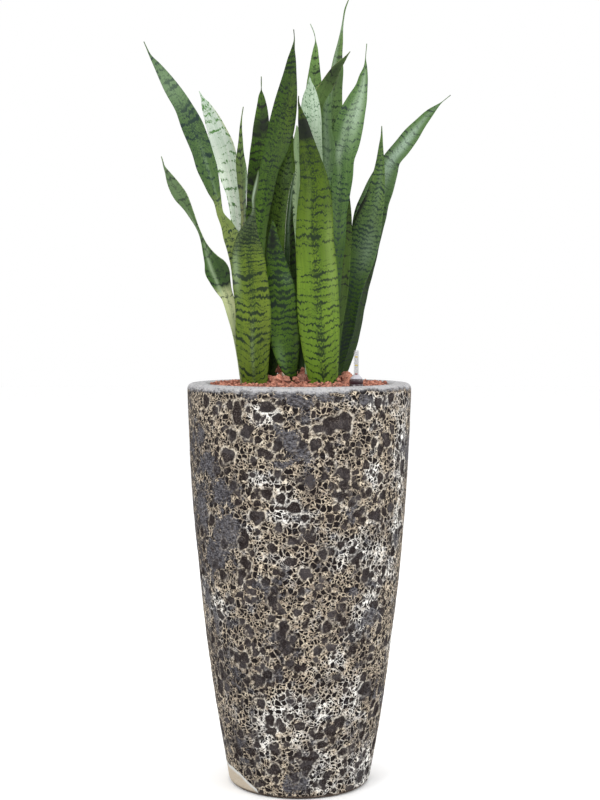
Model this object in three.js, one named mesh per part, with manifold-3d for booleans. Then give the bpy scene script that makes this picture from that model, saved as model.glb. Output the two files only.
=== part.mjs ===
// A ceylon bowstring hemp, a clump of upright banded leaves, growing in a tall round
// planter with a cratered lava glaze. The leaves stand in a root ball, which sits in grain
// that fills the planter, under a cover of lava granules with a water level gauge in it.
// Millimetres, +Z up. The origin is the centre of the planter's foot, and the front is -Y.
import * as THREE from "three";
import { mergeVertices } from "three/addons/utils/BufferGeometryUtils.js";
import Module from "manifold-3d";

const wasm = await Module();
wasm.setup();

// Planter
const POT_HEIGHT = 664;
const RIM_RADIUS = 185;
const RIM_LEVEL = 650;
const RIM_ROUND = 9;
const FOOT_RADIUS = 118.5;
const FOOT_ROUND = 10;
const BELLY = 50.1;
const POT_WALL = 35;
const POT_FLOOR = 32;
const ROUND_SIDES = 36;
const POT_RINGS = 10;
const INNER_RINGS = 3;

// Craters of the glaze
const CRATER_COUNT = 20;
const CRATER_DEPTH = 2.6;
const CRATER_RADII = [6, 13];
const CRATER_BAND = [36, 622];
const CRATER_TALLNESS = 1.12;
const CRATER_SIDES = 7;
const CRATER_RINGS = 4;
const CRATER_SEED = 11;
// [degrees to the right of the front, height, radius] of the widest craters in front
const FRONT_CRATERS = [
  [19, 605, 15],
  [-10.5, 617, 10],
  [-6, 603, 9],
  [3.5, 560, 10],
  [-25, 560, 11],
  [9, 412, 9],
  [26, 470, 8],
  [-14, 330, 9],
];

// Grain and root ball inside the planter
const SEAT_GAP = 0.3;
const GRAIN_TOP = 644;
const ROOT_BALL_TOP_RADIUS = 114;
const ROOT_BALL_BOTTOM_RADIUS = 94;
const ROOT_BALL_BOTTOM = 474;

// Lava cover
const COVER_RADIUS = 149.4;
const COVER_LEVEL = 660;
const COVER_CROWN = 4;
const GRANULE_PITCH = 14;
const GRANULE_RISE = 4.2;
const GRANULE_SCATTER = 0.4;
const COVER_SEED = 5;
const CHUNK_SEED = 23;
// [x, y, radius] of the coarse lava pieces heaped round the leaf bases, and how much higher
// a piece lies where it rests on others
const CHUNKS = [
  [-46, -38, 9], [-35, -46, 10], [-22, -46, 9], [-29, -14, 12], [-31, -12, 9, 15],
  [-40, -24, 9], [-3, -47, 8], [5, -47, 10], [13, -45, 8], [6, -24, 11], [7, -22, 10, 13],
  [0, 12, 11], [-30, 20, 10], [-48, 32, 9], [30, 8, 9], [36, 44, 10], [72, -8, 9],
  [80, -14, 10], [86, -2, 9], [78, 6, 9, 6], [62, -40, 7], [30, 74, 9],
  [-62, 60, 10], [-60, -24, 8],
];
const CHUNK_SQUASH = 0.78;
const CHUNK_LIFT = 0.35;
const CHUNK_SHRINK = 0.8;
const CHUNK_SPREAD = 0.35;

// Leaf blades
const LEAF_FOOT = 620;
const LEAF_GAP = 0.4;
const HOLE_TOP = 700;
const MARGIN_THICKNESS = 1.0;
const TIP_THICKNESS = 1.2;
const THICKNESS_PER_WIDTH = 0.16;
const BASE_THICKENING = 1.8;
const BASE_ZONE_TOP = 780;
const CHANNEL_ANGLE = 0.28;
const BASE_CHANNEL_ANGLE = 0.3;
const BLADE_PLACES = [-1, -0.55, 0, 0.55, 1];
const WAVE_LENGTH = 128;
const WAVE_PER_WIDTH = 0.07;

// Water level gauge
const GAUGE_X = 91;
const GAUGE_Y = -90;
const GAUGE_BOTTOM = 560;
const GAUGE_SIDES = 16;
const CUP_RADIUS = 11;
const CUP_BORE = 7;
const CUP_FLOOR = 4;
const CUP_TOP = 673;
const CUP_ROUND = 1.2;
const TUBE_FLARE_RADIUS = 9.8;
const TUBE_FLARE_EDGE = 1.5;
const TUBE_FLARE_HEIGHT = 7;
const TUBE_NECK = 5.2;
const TUBE_RADIUS = 4.1;
const TUBE_BORE = 2.7;
const TUBE_TOP = 719.5;
const TUBE_CAP = 2.4;
const TUBE_ROUND = 1.5;
const FLOAT_RADIUS = 6.4;
const FLOAT_LENGTH = 46;
const FLOAT_SHOULDER = 3;
const ROD_RADIUS = 1.6;
const POINTER_BOTTOM = 670;
const POINTER_LENGTH = 13;
const POINTER_RADIUS = 2.2;
const POINTER_EDGE = 1;

// Leaves. Each row of a path is [x, y, z, half width, degrees that the blade is turned away
// from the front]. The first row lies at the lava cover and the last one at the tip.
// cup is 1 where the channelled side faces as the row says, and -1 where its back does.
const LEAVES = {
  leaf_front_left: {
    cup: -1,
    wave: 0.4,
    colour: 0x5f7a35,
    path: [
      [-72.5, -50, 665, 21, -6], [-75.5, -55, 719, 27, -6], [-75, -60, 783, 29, -6],
      [-80, -65, 839, 28, -6], [-83, -69, 879, 24.5, -6], [-82, -71, 901, 18, -6],
      [-78, -72, 920, 10, 0], [-73, -74, 941, 2.9, 8], [-73, -76, 961, 3.2, 16],
      [-69, -78, 980, 3.9, 24], [-66, -79, 996, 2.2, 24], [-65, -80, 1005, 0.6, 24],
    ],
  },
  leaf_front_right: {
    cup: -1,
    wave: 2.1,
    colour: 0x64853a,
    path: [
      [40.5, -52, 665, 24, 8], [35.5, -57, 722, 30.5, 6], [31, -63, 791, 34, 6],
      [29, -66, 844, 33, 4], [25, -70, 895, 30.5, 2], [25, -74, 942, 28.5, 0],
      [24, -77, 986, 23, -2], [17, -79, 1024, 17, -2], [11, -81, 1055, 11.5, 0],
      [5, -83, 1084, 7, 0], [1, -85, 1102, 2.7, 0], [-1, -85, 1111, 1.2, 0],
      [-1, -86, 1122, 0.6, 0],
    ],
  },
  leaf_front_centre: {
    cup: 1,
    wave: 4.2,
    colour: 0x476a2c,
    path: [
      [-12.5, -26, 666, 5.5, 12], [-13, -28, 677, 8.8, 10], [-17, -31, 692, 14.5, 8],
      [-20, -32, 708, 19.2, 6], [-23, -33, 732, 23.5, 2], [-26.5, -38, 775, 24.5, -2],
      [-30, -42, 819, 23.5, -6], [-36, -44, 855, 18, -8], [-40, -47, 883, 12.5, -10],
      [-42, -48, 906, 7, -10], [-42, -49, 919, 4, -12], [-43, -50, 928, 0.6, -12],
    ],
  },
  leaf_inner_dark: {
    cup: 1,
    wave: 1.3,
    colour: 0x32502a,
    path: [
      [-45, -6, 667, 11.5, -38], [-43, -3, 734, 17, -36], [-40, 0, 801, 19, -36],
      [-38.5, 3, 863, 19, -30], [-36, 5, 923, 18.5, -22], [-31, 7, 964, 17.5, -16],
      [-25.5, 8, 992, 16.5, -10], [-19, 10, 1018, 14.5, -6], [-15.5, 11, 1043, 9, -2],
      [-12, 12, 1060, 3.6, 2], [-10.5, 12, 1071, 0.6, 4],
    ],
  },
  leaf_centre_tall: {
    cup: 1,
    wave: 0.9,
    colour: 0x44632d,
    path: [
      [-75, 4, 666, 18.5, -44], [-72, 1, 734, 18, -44], [-69, -2, 800, 16.5, -42],
      [-66, -5, 863, 15.5, -42], [-63, -8, 912, 15.5, -40], [-59, -10, 948, 16, -38],
      [-55, -11, 980, 17.5, -32], [-48, -13, 1013, 17.5, -24], [-34.5, -15, 1055, 22, -18],
      [-25.5, -17, 1098, 20.7, -10], [-19.5, -19, 1135, 16.7, -8], [-15, -20, 1167, 11, -6],
      [-12, -22, 1192, 6.5, -4], [-10, -22, 1208, 2.7, -2], [-8, -23, 1221, 0.8, -2],
      [-9, -24, 1238, 0.6, 0],
    ],
  },
  leaf_left_dark: {
    cup: 1,
    wave: 3.4,
    colour: 0x2f4a26,
    path: [
      [-71, 44, 665, 16, -38], [-73, 48, 768, 17, -38], [-73, 52, 869, 19.5, -38],
      [-72, 55, 945, 20.5, -38], [-70, 57, 1007, 19.5, -32], [-65, 59, 1061, 17, -28],
      [-63, 61, 1104, 13.5, -20], [-63, 62, 1131, 8, -14], [-64, 63, 1147, 3.9, -12],
      [-64, 63, 1154, 0.9, -10], [-64, 64, 1165, 0.8, -4], [-64, 64, 1177, 0.6, 0],
    ],
  },
  leaf_left_olive: {
    cup: 1,
    wave: 5.1,
    colour: 0x5a6a3c,
    path: [
      [-88, 31, 665, 12, -56], [-90, 30, 768, 13.5, -58], [-90.5, 29, 868, 13.5, -60],
      [-91.5, 28, 943, 13, -66], [-92.6, 28, 974, 14, -62], [-93.2, 27, 1005, 15.5, -58],
      [-97, 27, 1037, 11, -52], [-97, 27, 1068, 5, -46], [-97, 26, 1086, 2.5, -38],
      [-96, 26, 1101, 1, -30], [-93, 26, 1121, 0.6, -20],
    ],
  },
  dry_leaf_scale: {
    cup: -1,
    wave: 0,
    colour: 0xd9bf9c,
    path: [
      [-17.5, -41, 664, 2.4, 20], [-20, -42, 669, 2.8, 20], [-23, -43, 674, 2.4, 20],
      [-26, -44, 679, 1.3, 20], [-28, -44, 682, 0.6, 20],
    ],
  },
  leaf_left_pale: {
    cup: -1,
    wave: 2.7,
    colour: 0xb5cdb2,
    path: [
      [-83, 60, 664, 13.5, 34], [-92, 68, 768, 15.5, 34], [-102, 78, 870, 16, 34],
      [-106, 86, 939, 12, 32], [-111, 90, 980, 13.5, 30], [-121, 95, 1021, 17.5, 24],
      [-129, 100, 1059, 21, 18], [-140, 103, 1090, 17, 14], [-152, 107, 1118, 12, 12],
      [-162, 109, 1139, 6.5, 10], [-167, 111, 1149, 2.2, 10], [-172, 112, 1160, 0.6, 8],
    ],
  },
  leaf_far_left: {
    cup: 1,
    wave: 0.2,
    colour: 0x3f5f30,
    path: [
      [-83, -21, 667, 13, 22], [-88, -24, 751, 13.5, 22], [-92.5, -27, 798, 13.5, 20],
      [-95, -28, 822, 14, 16], [-96.5, -29, 846, 14.2, 10], [-99, -30, 866, 14.6, 2],
      [-104, -32, 887, 14.6, -8], [-110, -33, 903, 14, -18], [-116.6, -34, 921, 12, -30],
      [-122.8, -35, 931, 9.5, -40], [-127.5, -36, 940, 8.2, -46], [-129.9, -36, 951, 8.2, -46],
      [-132, -37, 961, 9, -43], [-136.9, -38, 976, 12, -38], [-140, -38, 987, 14, -34],
      [-148, -40, 1013, 18, -26], [-158, -42, 1045, 18, -18], [-171, -44, 1078, 18.5, -16],
      [-186, -46, 1110, 14.5, -14], [-207, -49, 1143, 12, -12], [-227, -51, 1174, 6, -8],
      [-240, -52, 1193, 1.5, -8], [-245, -53, 1204, 0.8, -6], [-249, -54, 1213, 0.6, -6],
    ],
  },
  leaf_left_twisted: {
    cup: 1,
    wave: 1.7,
    colour: 0x4b6b38,
    path: [
      [-87, -31, 668, 10.5, 20], [-95.8, -34, 727, 10, 16], [-102, -36, 757, 10, 14],
      [-108, -38, 779, 10.3, 10], [-113, -40, 795, 9.8, 4], [-117, -42, 806, 10, 0],
      [-121.7, -44, 816, 12.5, -4], [-127, -46, 830, 16.5, -10], [-132, -48, 846, 20, -14],
      [-135.5, -49, 854, 19, -16], [-142, -51, 866, 13, -20], [-148, -53, 878, 8.8, -28],
      [-154.5, -56, 894, 5, -42], [-159, -58, 906, 3.7, -48], [-164.6, -61, 919, 3.9, -48],
      [-171.5, -64, 934, 6.2, -42], [-179.6, -68, 950, 8.6, -35], [-189.3, -71, 966, 11.6, -30],
      [-195.7, -73, 976, 11.2, -28], [-203.8, -76, 990, 8.3, -26],
      [-210.3, -79, 1003, 3.9, -26], [-215, -82, 1012, 1.4, -26], [-217, -83, 1020, 0.9, -24],
      [-219, -84, 1027, 0.6, -22],
    ],
  },
  leaf_inner_curled: {
    cup: 1,
    wave: 3.9,
    colour: 0x5d7a50,
    path: [
      [-19, -12, 667, 7.5, 14], [-21, -12, 751, 8.5, 24], [-21, -12, 817, 7.5, 36],
      [-21, -12, 869, 6, 44], [-20, -12, 899, 6, 42], [-19, -12, 928, 5, 42],
      [-16, -12, 956, 4.7, 40], [-13, -12, 980, 3.3, 32], [-10, -12, 996, 2, 26],
      [-7, -12, 1010, 0.6, 20],
    ],
  },
  leaf_inner_pale: {
    cup: -1,
    wave: 0.6,
    colour: 0x8fb08a,
    path: [
      [8, -21, 667, 9.5, 14], [8, -21, 751, 10, 14], [6, -21, 833, 10.5, 12],
      [4, -22, 898, 10.5, 12], [1, -22, 937, 11, 6], [1, -22, 979, 11.5, 2],
      [4, -22, 1018, 10.5, -4], [0, -22, 1041, 9, -6], [-3, -22, 1063, 6, -6],
      [-3, -22, 1076, 3, -8], [-4, -22, 1084, 0.6, -8],
    ],
  },
  leaf_back_hidden: {
    cup: 1,
    wave: 2.3,
    colour: 0x2a4524,
    path: [
      [-11, 67, 664, 16, -36], [-12, 72, 768, 15, -36], [-13, 76, 853, 13, -34],
      [-13, 78, 904, 11.5, -34], [-12, 81, 947, 8.5, -32], [-11, 82, 981, 4.9, -30],
      [-10, 83, 1003, 2, -30], [-9, 84, 1015, 0.6, -30],
    ],
  },
  leaf_back_pale: {
    cup: -1,
    wave: 4.6,
    colour: 0xa5c39f,
    path: [
      [22, -34, 668, 12, 16], [22, -37, 751, 14.5, 14], [22, -40, 832, 16.5, 14],
      [22, -43, 913, 17, 12], [21, -45, 977, 17, 8], [21, -47, 1025, 17, 4],
      [19, -48, 1063, 17.5, 2], [19, -50, 1093, 16.5, 2], [18, -50, 1115, 14.5, 0],
      [18, -51, 1131, 10.5, 0], [18, -51, 1142, 6, 0], [17, -52, 1150, 2.5, 0],
      [17, -52, 1158, 0.6, 0],
    ],
  },
  leaf_back_needle: {
    cup: 1,
    wave: 0.8,
    colour: 0x58803f,
    path: [
      [12, 78, 664, 11.5, 36], [14, 83, 768, 13, 36], [19, 88, 871, 15.5, 34],
      [23, 94, 973, 17, 34], [25, 99, 1059, 16.5, 26], [25, 103, 1119, 15.5, 20],
      [25, 105, 1162, 14, 16], [26, 107, 1193, 10, 12], [27, 109, 1217, 6.5, 8],
      [28, 110, 1234, 3.5, 6], [28, 110, 1244, 0.9, 4], [25, 111, 1260, 0.7, 2],
      [19, 112, 1274, 0.6, 0],
    ],
  },
  leaf_back_slant: {
    cup: 1,
    wave: 3.1,
    colour: 0x33502a,
    path: [
      [13, 50, 665, 8, -16], [15, 49, 768, 13, -12], [15, 48, 885, 15.5, -6],
      [18, 46, 1002, 15.5, 6], [21, 46, 1069, 15, 14], [27, 45, 1110, 14, 16],
      [36, 45, 1140, 13, 18], [48, 45, 1163, 11, 18], [61, 44, 1185, 7.5, 20],
      [75, 44, 1202, 3, 14], [81, 44, 1210, 1.1, 12], [85, 44, 1215, 0.6, 10],
    ],
  },
  leaf_back_tallest: {
    cup: 1,
    wave: 5.6,
    colour: 0x55793d,
    path: [
      [53, 86, 663, 15.5, -40], [54, 92, 768, 21.5, -40], [55, 100, 888, 23.5, -40],
      [57, 109, 1009, 23.5, -40], [59, 114, 1078, 20.5, -34], [59, 118, 1137, 17.5, -30],
      [61, 120, 1168, 15, -24], [65, 122, 1195, 12, -18], [67, 124, 1221, 7.5, -12],
      [71, 126, 1247, 4.3, -8], [74, 128, 1272, 1.7, -6], [76, 129, 1286, 1.2, -4],
      [79, 131, 1303, 1.2, -2], [86, 132, 1322, 0.6, 0],
    ],
  },
  leaf_right_grey: {
    cup: -1,
    wave: 1.1,
    colour: 0x5d7a55,
    path: [
      [32, -14, 667, 13, 36], [32, -14, 767, 14, 34], [33, -14, 866, 13, 34],
      [36, -14, 939, 10.5, 24], [40, -14, 980, 11, 20], [44, -14, 1012, 12, 8],
      [47, -14, 1045, 12, -4], [45, -14, 1077, 9, -6], [45, -14, 1102, 7.5, -6],
      [46, -14, 1119, 6, -8], [49, -14, 1131, 2.7, -8], [51, -14, 1137, 0.6, -8],
    ],
  },
  leaf_right_glossy: {
    cup: 1,
    wave: 2.9,
    colour: 0x557a48,
    path: [
      [49, 9, 666, 12, 40], [54, 7, 751, 12.5, 38], [57, 5, 817, 13.5, 36],
      [59, 3, 863, 13.5, 34], [63, 1, 903, 14.5, 26], [65, 0, 945, 14, 18],
      [67, -2, 971, 16, 14], [69, -3, 1004, 19, 4], [70, -4, 1033, 21, -6],
      [74, -5, 1054, 24, -8], [80, -7, 1082, 25, -12], [88, -8, 1107, 21.5, -14],
      [96, -9, 1130, 16, -12], [102, -10, 1149, 10, -8], [105, -11, 1165, 7, -6],
      [108, -12, 1181, 2.6, -4], [108, -13, 1192, 0.7, -4], [110, -14, 1217, 0.6, 0],
    ],
  },
  leaf_right_inner: {
    cup: 1,
    wave: 4.9,
    colour: 0x3c5a30,
    path: [
      [55, 25, 666, 11.5, 30], [58, 26, 726, 11, 26], [64, 26, 771, 11.5, 24],
      [70, 27, 818, 12, 20], [73, 28, 864, 12.5, 16], [76, 28, 909, 12, 12],
      [76, 29, 943, 11, 12], [76, 29, 968, 8.5, 10], [75, 30, 992, 5.5, 10],
      [74, 30, 1009, 2.5, 10], [74, 30, 1021, 0.6, 10],
    ],
  },
  leaf_right_banded: {
    cup: 1,
    wave: 1.5,
    colour: 0x4a6b45,
    path: [
      [63, 49, 665, 11.5, 22], [64, 49, 690, 11, 18], [70, 48, 717, 13, 12],
      [77, 46, 751, 15.5, 6], [84, 43, 793, 16.5, 0], [93, 40, 835, 19, -4],
      [103, 36, 871, 23.5, -8], [110, 33, 905, 25.5, -10], [117, 29, 938, 22.5, -12],
      [126, 25, 970, 16.5, -12], [131, 21, 1000, 11.5, -8], [134, 17, 1029, 7, -6],
      [135, 13, 1055, 3.5, -4], [136, 11, 1071, 1.6, -2], [136, 8, 1087, 0.6, 0],
    ],
  },
  leaf_right_arched: {
    cup: 1,
    wave: 3.6,
    colour: 0x3a5838,
    path: [
      [65, 64, 664, 12.5, 34], [72, 65, 690, 14.5, 34], [80, 67, 717, 16, 32],
      [88, 69, 751, 17.5, 32], [94, 72, 793, 20.5, 30], [100, 76, 836, 22.5, 26],
      [107, 79, 874, 25, 22], [113, 82, 911, 27.5, 16], [120, 85, 945, 28.5, 12],
      [129, 87, 973, 25, 10], [138, 89, 995, 23.5, 8], [149, 92, 1021, 19.5, 6],
      [158, 93, 1041, 15.5, 8], [175, 95, 1062, 15, 10], [191, 97, 1083, 14, 12],
      [207, 99, 1103, 10, 10], [224, 101, 1122, 6.5, 10], [236, 102, 1133, 2.7, 8],
      [243, 103, 1139, 0.8, 8], [259, 104, 1152, 0.6, 8],
    ],
  },
};

// A closed geometry as a solid that can be joined and cut.
function toSolid(geometry) {
  const bare = geometry.clone();
  bare.deleteAttribute("normal");
  bare.deleteAttribute("uv");
  const merged = mergeVertices(bare, 1e-4);
  const mesh = new wasm.Mesh({
    numProp: 3,
    vertProperties: merged.attributes.position.array,
    triVerts: new Uint32Array(merged.index.array),
  });
  return new wasm.Manifold(mesh);
}

// A joined or cut solid as a geometry again.
function toGeometry(solid) {
  const mesh = solid.getMesh();
  const geometry = new THREE.BufferGeometry();
  geometry.setAttribute("position", new THREE.BufferAttribute(mesh.vertProperties, 3));
  geometry.setIndex(new THREE.BufferAttribute(mesh.triVerts, 1));
  geometry.computeVertexNormals();
  return geometry;
}

// The biggest of a solid's separate parts, without the scraps that a cut leaves.
function largestPart(solid) {
  const parts = solid.decompose();
  return parts.reduce((best, part) => (part.volume() > best.volume() ? part : best));
}

// Random numbers from 0 to 1 that are the same on each run.
function seededRandom(seed) {
  let state = seed;
  return () => {
    state = (state + 0x6d2b79f5) | 0;
    let mixed = Math.imul(state ^ (state >>> 15), 1 | state);
    mixed = (mixed + Math.imul(mixed ^ (mixed >>> 7), 61 | mixed)) ^ mixed;
    return ((mixed ^ (mixed >>> 14)) >>> 0) / 4294967296;
  };
}

function named(name, geometry, colour, roughness, metalness = 0) {
  const material = new THREE.MeshStandardMaterial({ color: colour, roughness, metalness });
  const mesh = new THREE.Mesh(geometry, material);
  mesh.name = name;
  return mesh;
}

// A solid of revolution about +Z from [radius, height] points that run from the axis at the
// bottom, round the outside, and back to the axis.
function turned(points, sides = ROUND_SIDES) {
  const profile = points.map(([radius, height]) => new THREE.Vector2(radius, height));
  return new THREE.LatheGeometry(profile, sides).rotateX(Math.PI / 2);
}

// Points of a quarter round about a centre, from one angle to another in degrees.
function roundedCorner(radius, height, size, fromDegrees, toDegrees, steps = 3) {
  const points = [];
  for (let step = 0; step <= steps; step++) {
    const angle = THREE.MathUtils.degToRad(
      fromDegrees + ((toDegrees - fromDegrees) * step) / steps,
    );
    points.push([radius + size * Math.cos(angle), height + size * Math.sin(angle)]);
  }
  return points;
}

// Outer radius of the planter: a cone that bows outwards by a parabola.
function potRadius(height) {
  const t = (height - FOOT_ROUND) / (RIM_LEVEL - FOOT_ROUND);
  return FOOT_RADIUS + (RIM_RADIUS - FOOT_RADIUS + BELLY) * t - BELLY * t * t;
}

function innerRadius(height) {
  return Math.min(potRadius(height) - POT_WALL, RIM_RADIUS - POT_WALL);
}

// Points up or down a wall between two heights, the ends included.
function wallPoints(radiusAt, from, to, rings) {
  const points = [];
  for (let ring = 0; ring <= rings; ring++) {
    const height = from + ((to - from) * ring) / rings;
    points.push([radiusAt(height), height]);
  }
  return points;
}

// Shallow dishes in the planter's wall: half of a flattened ball sunk at each place.
function craterCutters() {
  const random = seededRandom(CRATER_SEED);
  const places = FRONT_CRATERS.map(([degrees, height, radius]) => [
    THREE.MathUtils.degToRad(degrees), height, radius,
  ]);
  const goldenAngle = Math.PI * (3 - Math.sqrt(5));
  for (let i = 0; i < CRATER_COUNT; i++) {
    const angle = goldenAngle * i + 0.5 * random();
    const share = (i + random()) / CRATER_COUNT;
    const height = THREE.MathUtils.lerp(CRATER_BAND[0], CRATER_BAND[1], share);
    const radius = THREE.MathUtils.lerp(CRATER_RADII[0], CRATER_RADII[1], random() ** 2);
    places.push([angle, height, radius]);
  }
  return places.map(([angle, height, radius]) => {
    const dish = new THREE.SphereGeometry(1, CRATER_SIDES, CRATER_RINGS);
    dish.scale(radius, CRATER_DEPTH, radius * CRATER_TALLNESS);
    dish.translate(0, -potRadius(height), height);
    dish.rotateZ(angle);
    return toSolid(dish);
  });
}

function makePot() {
  const outer = wallPoints(potRadius, FOOT_ROUND, RIM_LEVEL, POT_RINGS);
  const inner = wallPoints(innerRadius, RIM_LEVEL, POT_FLOOR, INNER_RINGS);
  const crest = POT_HEIGHT - RIM_ROUND;
  const profile = [
    [0, 0],
    ...roundedCorner(FOOT_RADIUS - FOOT_ROUND, FOOT_ROUND, FOOT_ROUND, -90, -30, 2),
    ...outer,
    ...roundedCorner(RIM_RADIUS - RIM_ROUND, crest, RIM_ROUND, 0, 90),
    ...roundedCorner(RIM_RADIUS - POT_WALL + RIM_ROUND, crest, RIM_ROUND, 90, 180),
    ...inner,
    [0, POT_FLOOR],
  ];
  let pot = toSolid(turned(profile));
  for (const dish of craterCutters()) pot = pot.subtract(dish);
  return named("pot", toGeometry(pot), 0x8b8177, 0.8);
}

// One cross-section of a blade: an arc of the channel, thick in the middle and thin at the
// margins, with the margins lifted by a slow wave. grow widens it all round.
// Returns the points of the front face and of the back face, margin to margin.
function bladeSection(centre, along, halfWidth, turn, leaf, grow) {
  const facing = new THREE.Vector3(Math.sin(turn), -Math.cos(turn), 0);
  const lift = facing.addScaledVector(along, -facing.dot(along)).normalize();
  const across = new THREE.Vector3().crossVectors(along, lift);
  const nearBase = THREE.MathUtils.clamp(
    (BASE_ZONE_TOP - centre.z) / (BASE_ZONE_TOP - LEAF_FOOT), 0, 1,
  );
  const bend = CHANNEL_ANGLE + BASE_CHANNEL_ANGLE * nearBase;
  const arcRadius = halfWidth / Math.sin(bend);
  const middle =
    TIP_THICKNESS + THICKNESS_PER_WIDTH * halfWidth + BASE_THICKENING * nearBase;
  const wave =
    WAVE_PER_WIDTH * halfWidth * (1 - nearBase) *
    Math.sin((2 * Math.PI * centre.z) / WAVE_LENGTH + leaf.wave);
  const front = [];
  const back = [];
  for (const place of BLADE_PLACES) {
    const angle = place * bend;
    const half =
      (MARGIN_THICKNESS + (middle - MARGIN_THICKNESS) * (1 - place * place)) / 2 + grow;
    const sideways = arcRadius * Math.sin(angle) + Math.sign(place) * grow;
    const rise = leaf.cup * arcRadius * (1 - Math.cos(angle)) + wave * place * place * place;
    const normal = lift.clone().multiplyScalar(Math.cos(angle));
    normal.addScaledVector(across, -leaf.cup * Math.sin(angle));
    const spot = centre.clone().addScaledVector(across, sideways).addScaledVector(lift, rise);
    front.push(spot.clone().addScaledVector(normal, half));
    back.push(spot.clone().addScaledVector(normal, -half));
  }
  return { front, back };
}

// A blade lofted through the rows of its path, with a foot that runs straight on down into
// the root ball. Both faces are split along the same diagonals.
function bladeGeometry(leaf, grow = 0) {
  const [x0, y0, z0, width0, turn0] = leaf.path[0];
  const [x1, y1, z1] = leaf.path[1];
  const bottom = LEAF_FOOT - grow;
  const reach = (z0 - bottom) / (z1 - z0);
  const foot = [x0 - (x1 - x0) * reach, y0 - (y1 - y0) * reach, bottom, width0, turn0];
  const rows = [foot, ...leaf.path];
  const centres = rows.map(([x, y, z]) => new THREE.Vector3(x, y, z));
  const sections = rows.map((row, i) => {
    const before = centres[Math.max(0, i - 1)];
    const after = centres[Math.min(rows.length - 1, i + 1)];
    const along = after.clone().sub(before).normalize();
    return bladeSection(
      centres[i], along, row[3], THREE.MathUtils.degToRad(row[4]), leaf, grow,
    );
  });
  const points = [];
  for (const { front, back } of sections) points.push(...front, ...back);
  const columns = BLADE_PLACES.length;
  const ring = 2 * columns;
  const at = (row, side, column) => row * ring + side * columns + column;
  const faces = [];
  for (let row = 0; row + 1 < sections.length; row++) {
    for (let column = 0; column + 1 < columns; column++) {
      const [a, b] = [at(row, 0, column), at(row, 0, column + 1)];
      const [c, d] = [at(row + 1, 0, column), at(row + 1, 0, column + 1)];
      faces.push(a, b, d, a, d, c);
      const behind = [a, b, c, d].map((index) => index + columns);
      faces.push(behind[0], behind[3], behind[1], behind[0], behind[2], behind[3]);
    }
    for (const [column, flip] of [[0, false], [columns - 1, true]]) {
      const [a, b] = [at(row, 0, column), at(row, 1, column)];
      const [c, d] = [at(row + 1, 0, column), at(row + 1, 1, column)];
      faces.push(...(flip ? [a, b, d, a, d, c] : [a, d, b, a, c, d]));
    }
  }
  const last = sections.length - 1;
  for (let column = 0; column + 1 < columns; column++) {
    const low = [at(0, 0, column), at(0, 0, column + 1), at(0, 1, column), at(0, 1, column + 1)];
    faces.push(low[0], low[2], low[3], low[0], low[3], low[1]);
    const top = [
      at(last, 0, column), at(last, 0, column + 1),
      at(last, 1, column), at(last, 1, column + 1),
    ];
    faces.push(top[0], top[3], top[2], top[0], top[1], top[3]);
  }
  const geometry = new THREE.BufferGeometry().setFromPoints(points);
  geometry.setIndex(faces);
  geometry.computeVertexNormals();
  return geometry;
}

// An upright cylinder between two heights, as a solid.
function cylinder(x, y, radius, bottom, top, sides) {
  const shape = new THREE.CylinderGeometry(radius, radius, top - bottom, sides);
  shape.rotateX(Math.PI / 2).translate(x, y, (bottom + top) / 2);
  return toSolid(shape);
}

// The lower part of each leaf, widened by the gap round it, as a cutter.
function leafHoles() {
  const limit = cylinder(0, 0, COVER_RADIUS, ROOT_BALL_BOTTOM, HOLE_TOP, ROUND_SIDES);
  return Object.values(LEAVES).map((leaf) =>
    toSolid(bladeGeometry(leaf, LEAF_GAP)).intersect(limit),
  );
}

function gaugeHole() {
  const bottom = GAUGE_BOTTOM - SEAT_GAP;
  return cylinder(GAUGE_X, GAUGE_Y, CUP_RADIUS + SEAT_GAP, bottom, HOLE_TOP, GAUGE_SIDES);
}

function makeGrain() {
  const wall = (height) => innerRadius(height) - SEAT_GAP;
  const bottom = POT_FLOOR + SEAT_GAP;
  const profile = [
    [0, bottom],
    ...wallPoints(wall, bottom, GRAIN_TOP, INNER_RINGS),
    [ROOT_BALL_TOP_RADIUS + SEAT_GAP, GRAIN_TOP],
    [ROOT_BALL_BOTTOM_RADIUS + SEAT_GAP, ROOT_BALL_BOTTOM - SEAT_GAP],
    [0, ROOT_BALL_BOTTOM - SEAT_GAP],
  ];
  const grain = toSolid(turned(profile)).subtract(gaugeHole());
  return named("grain_fill", toGeometry(grain), 0x9a6a4f, 0.95);
}

function makeRootBall(holes) {
  const profile = [
    [0, ROOT_BALL_BOTTOM],
    [ROOT_BALL_BOTTOM_RADIUS, ROOT_BALL_BOTTOM],
    [ROOT_BALL_TOP_RADIUS, GRAIN_TOP],
    [0, GRAIN_TOP],
  ];
  let ball = toSolid(turned(profile));
  for (const hole of holes) ball = ball.subtract(hole);
  return named("root_ball", toGeometry(ball), 0x4a3a2c, 0.95);
}

// Level of the lava under its granules: a low dome.
function coverTop(x, y) {
  return COVER_LEVEL + COVER_CROWN * (1 - (x * x + y * y) / COVER_RADIUS ** 2);
}

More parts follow.
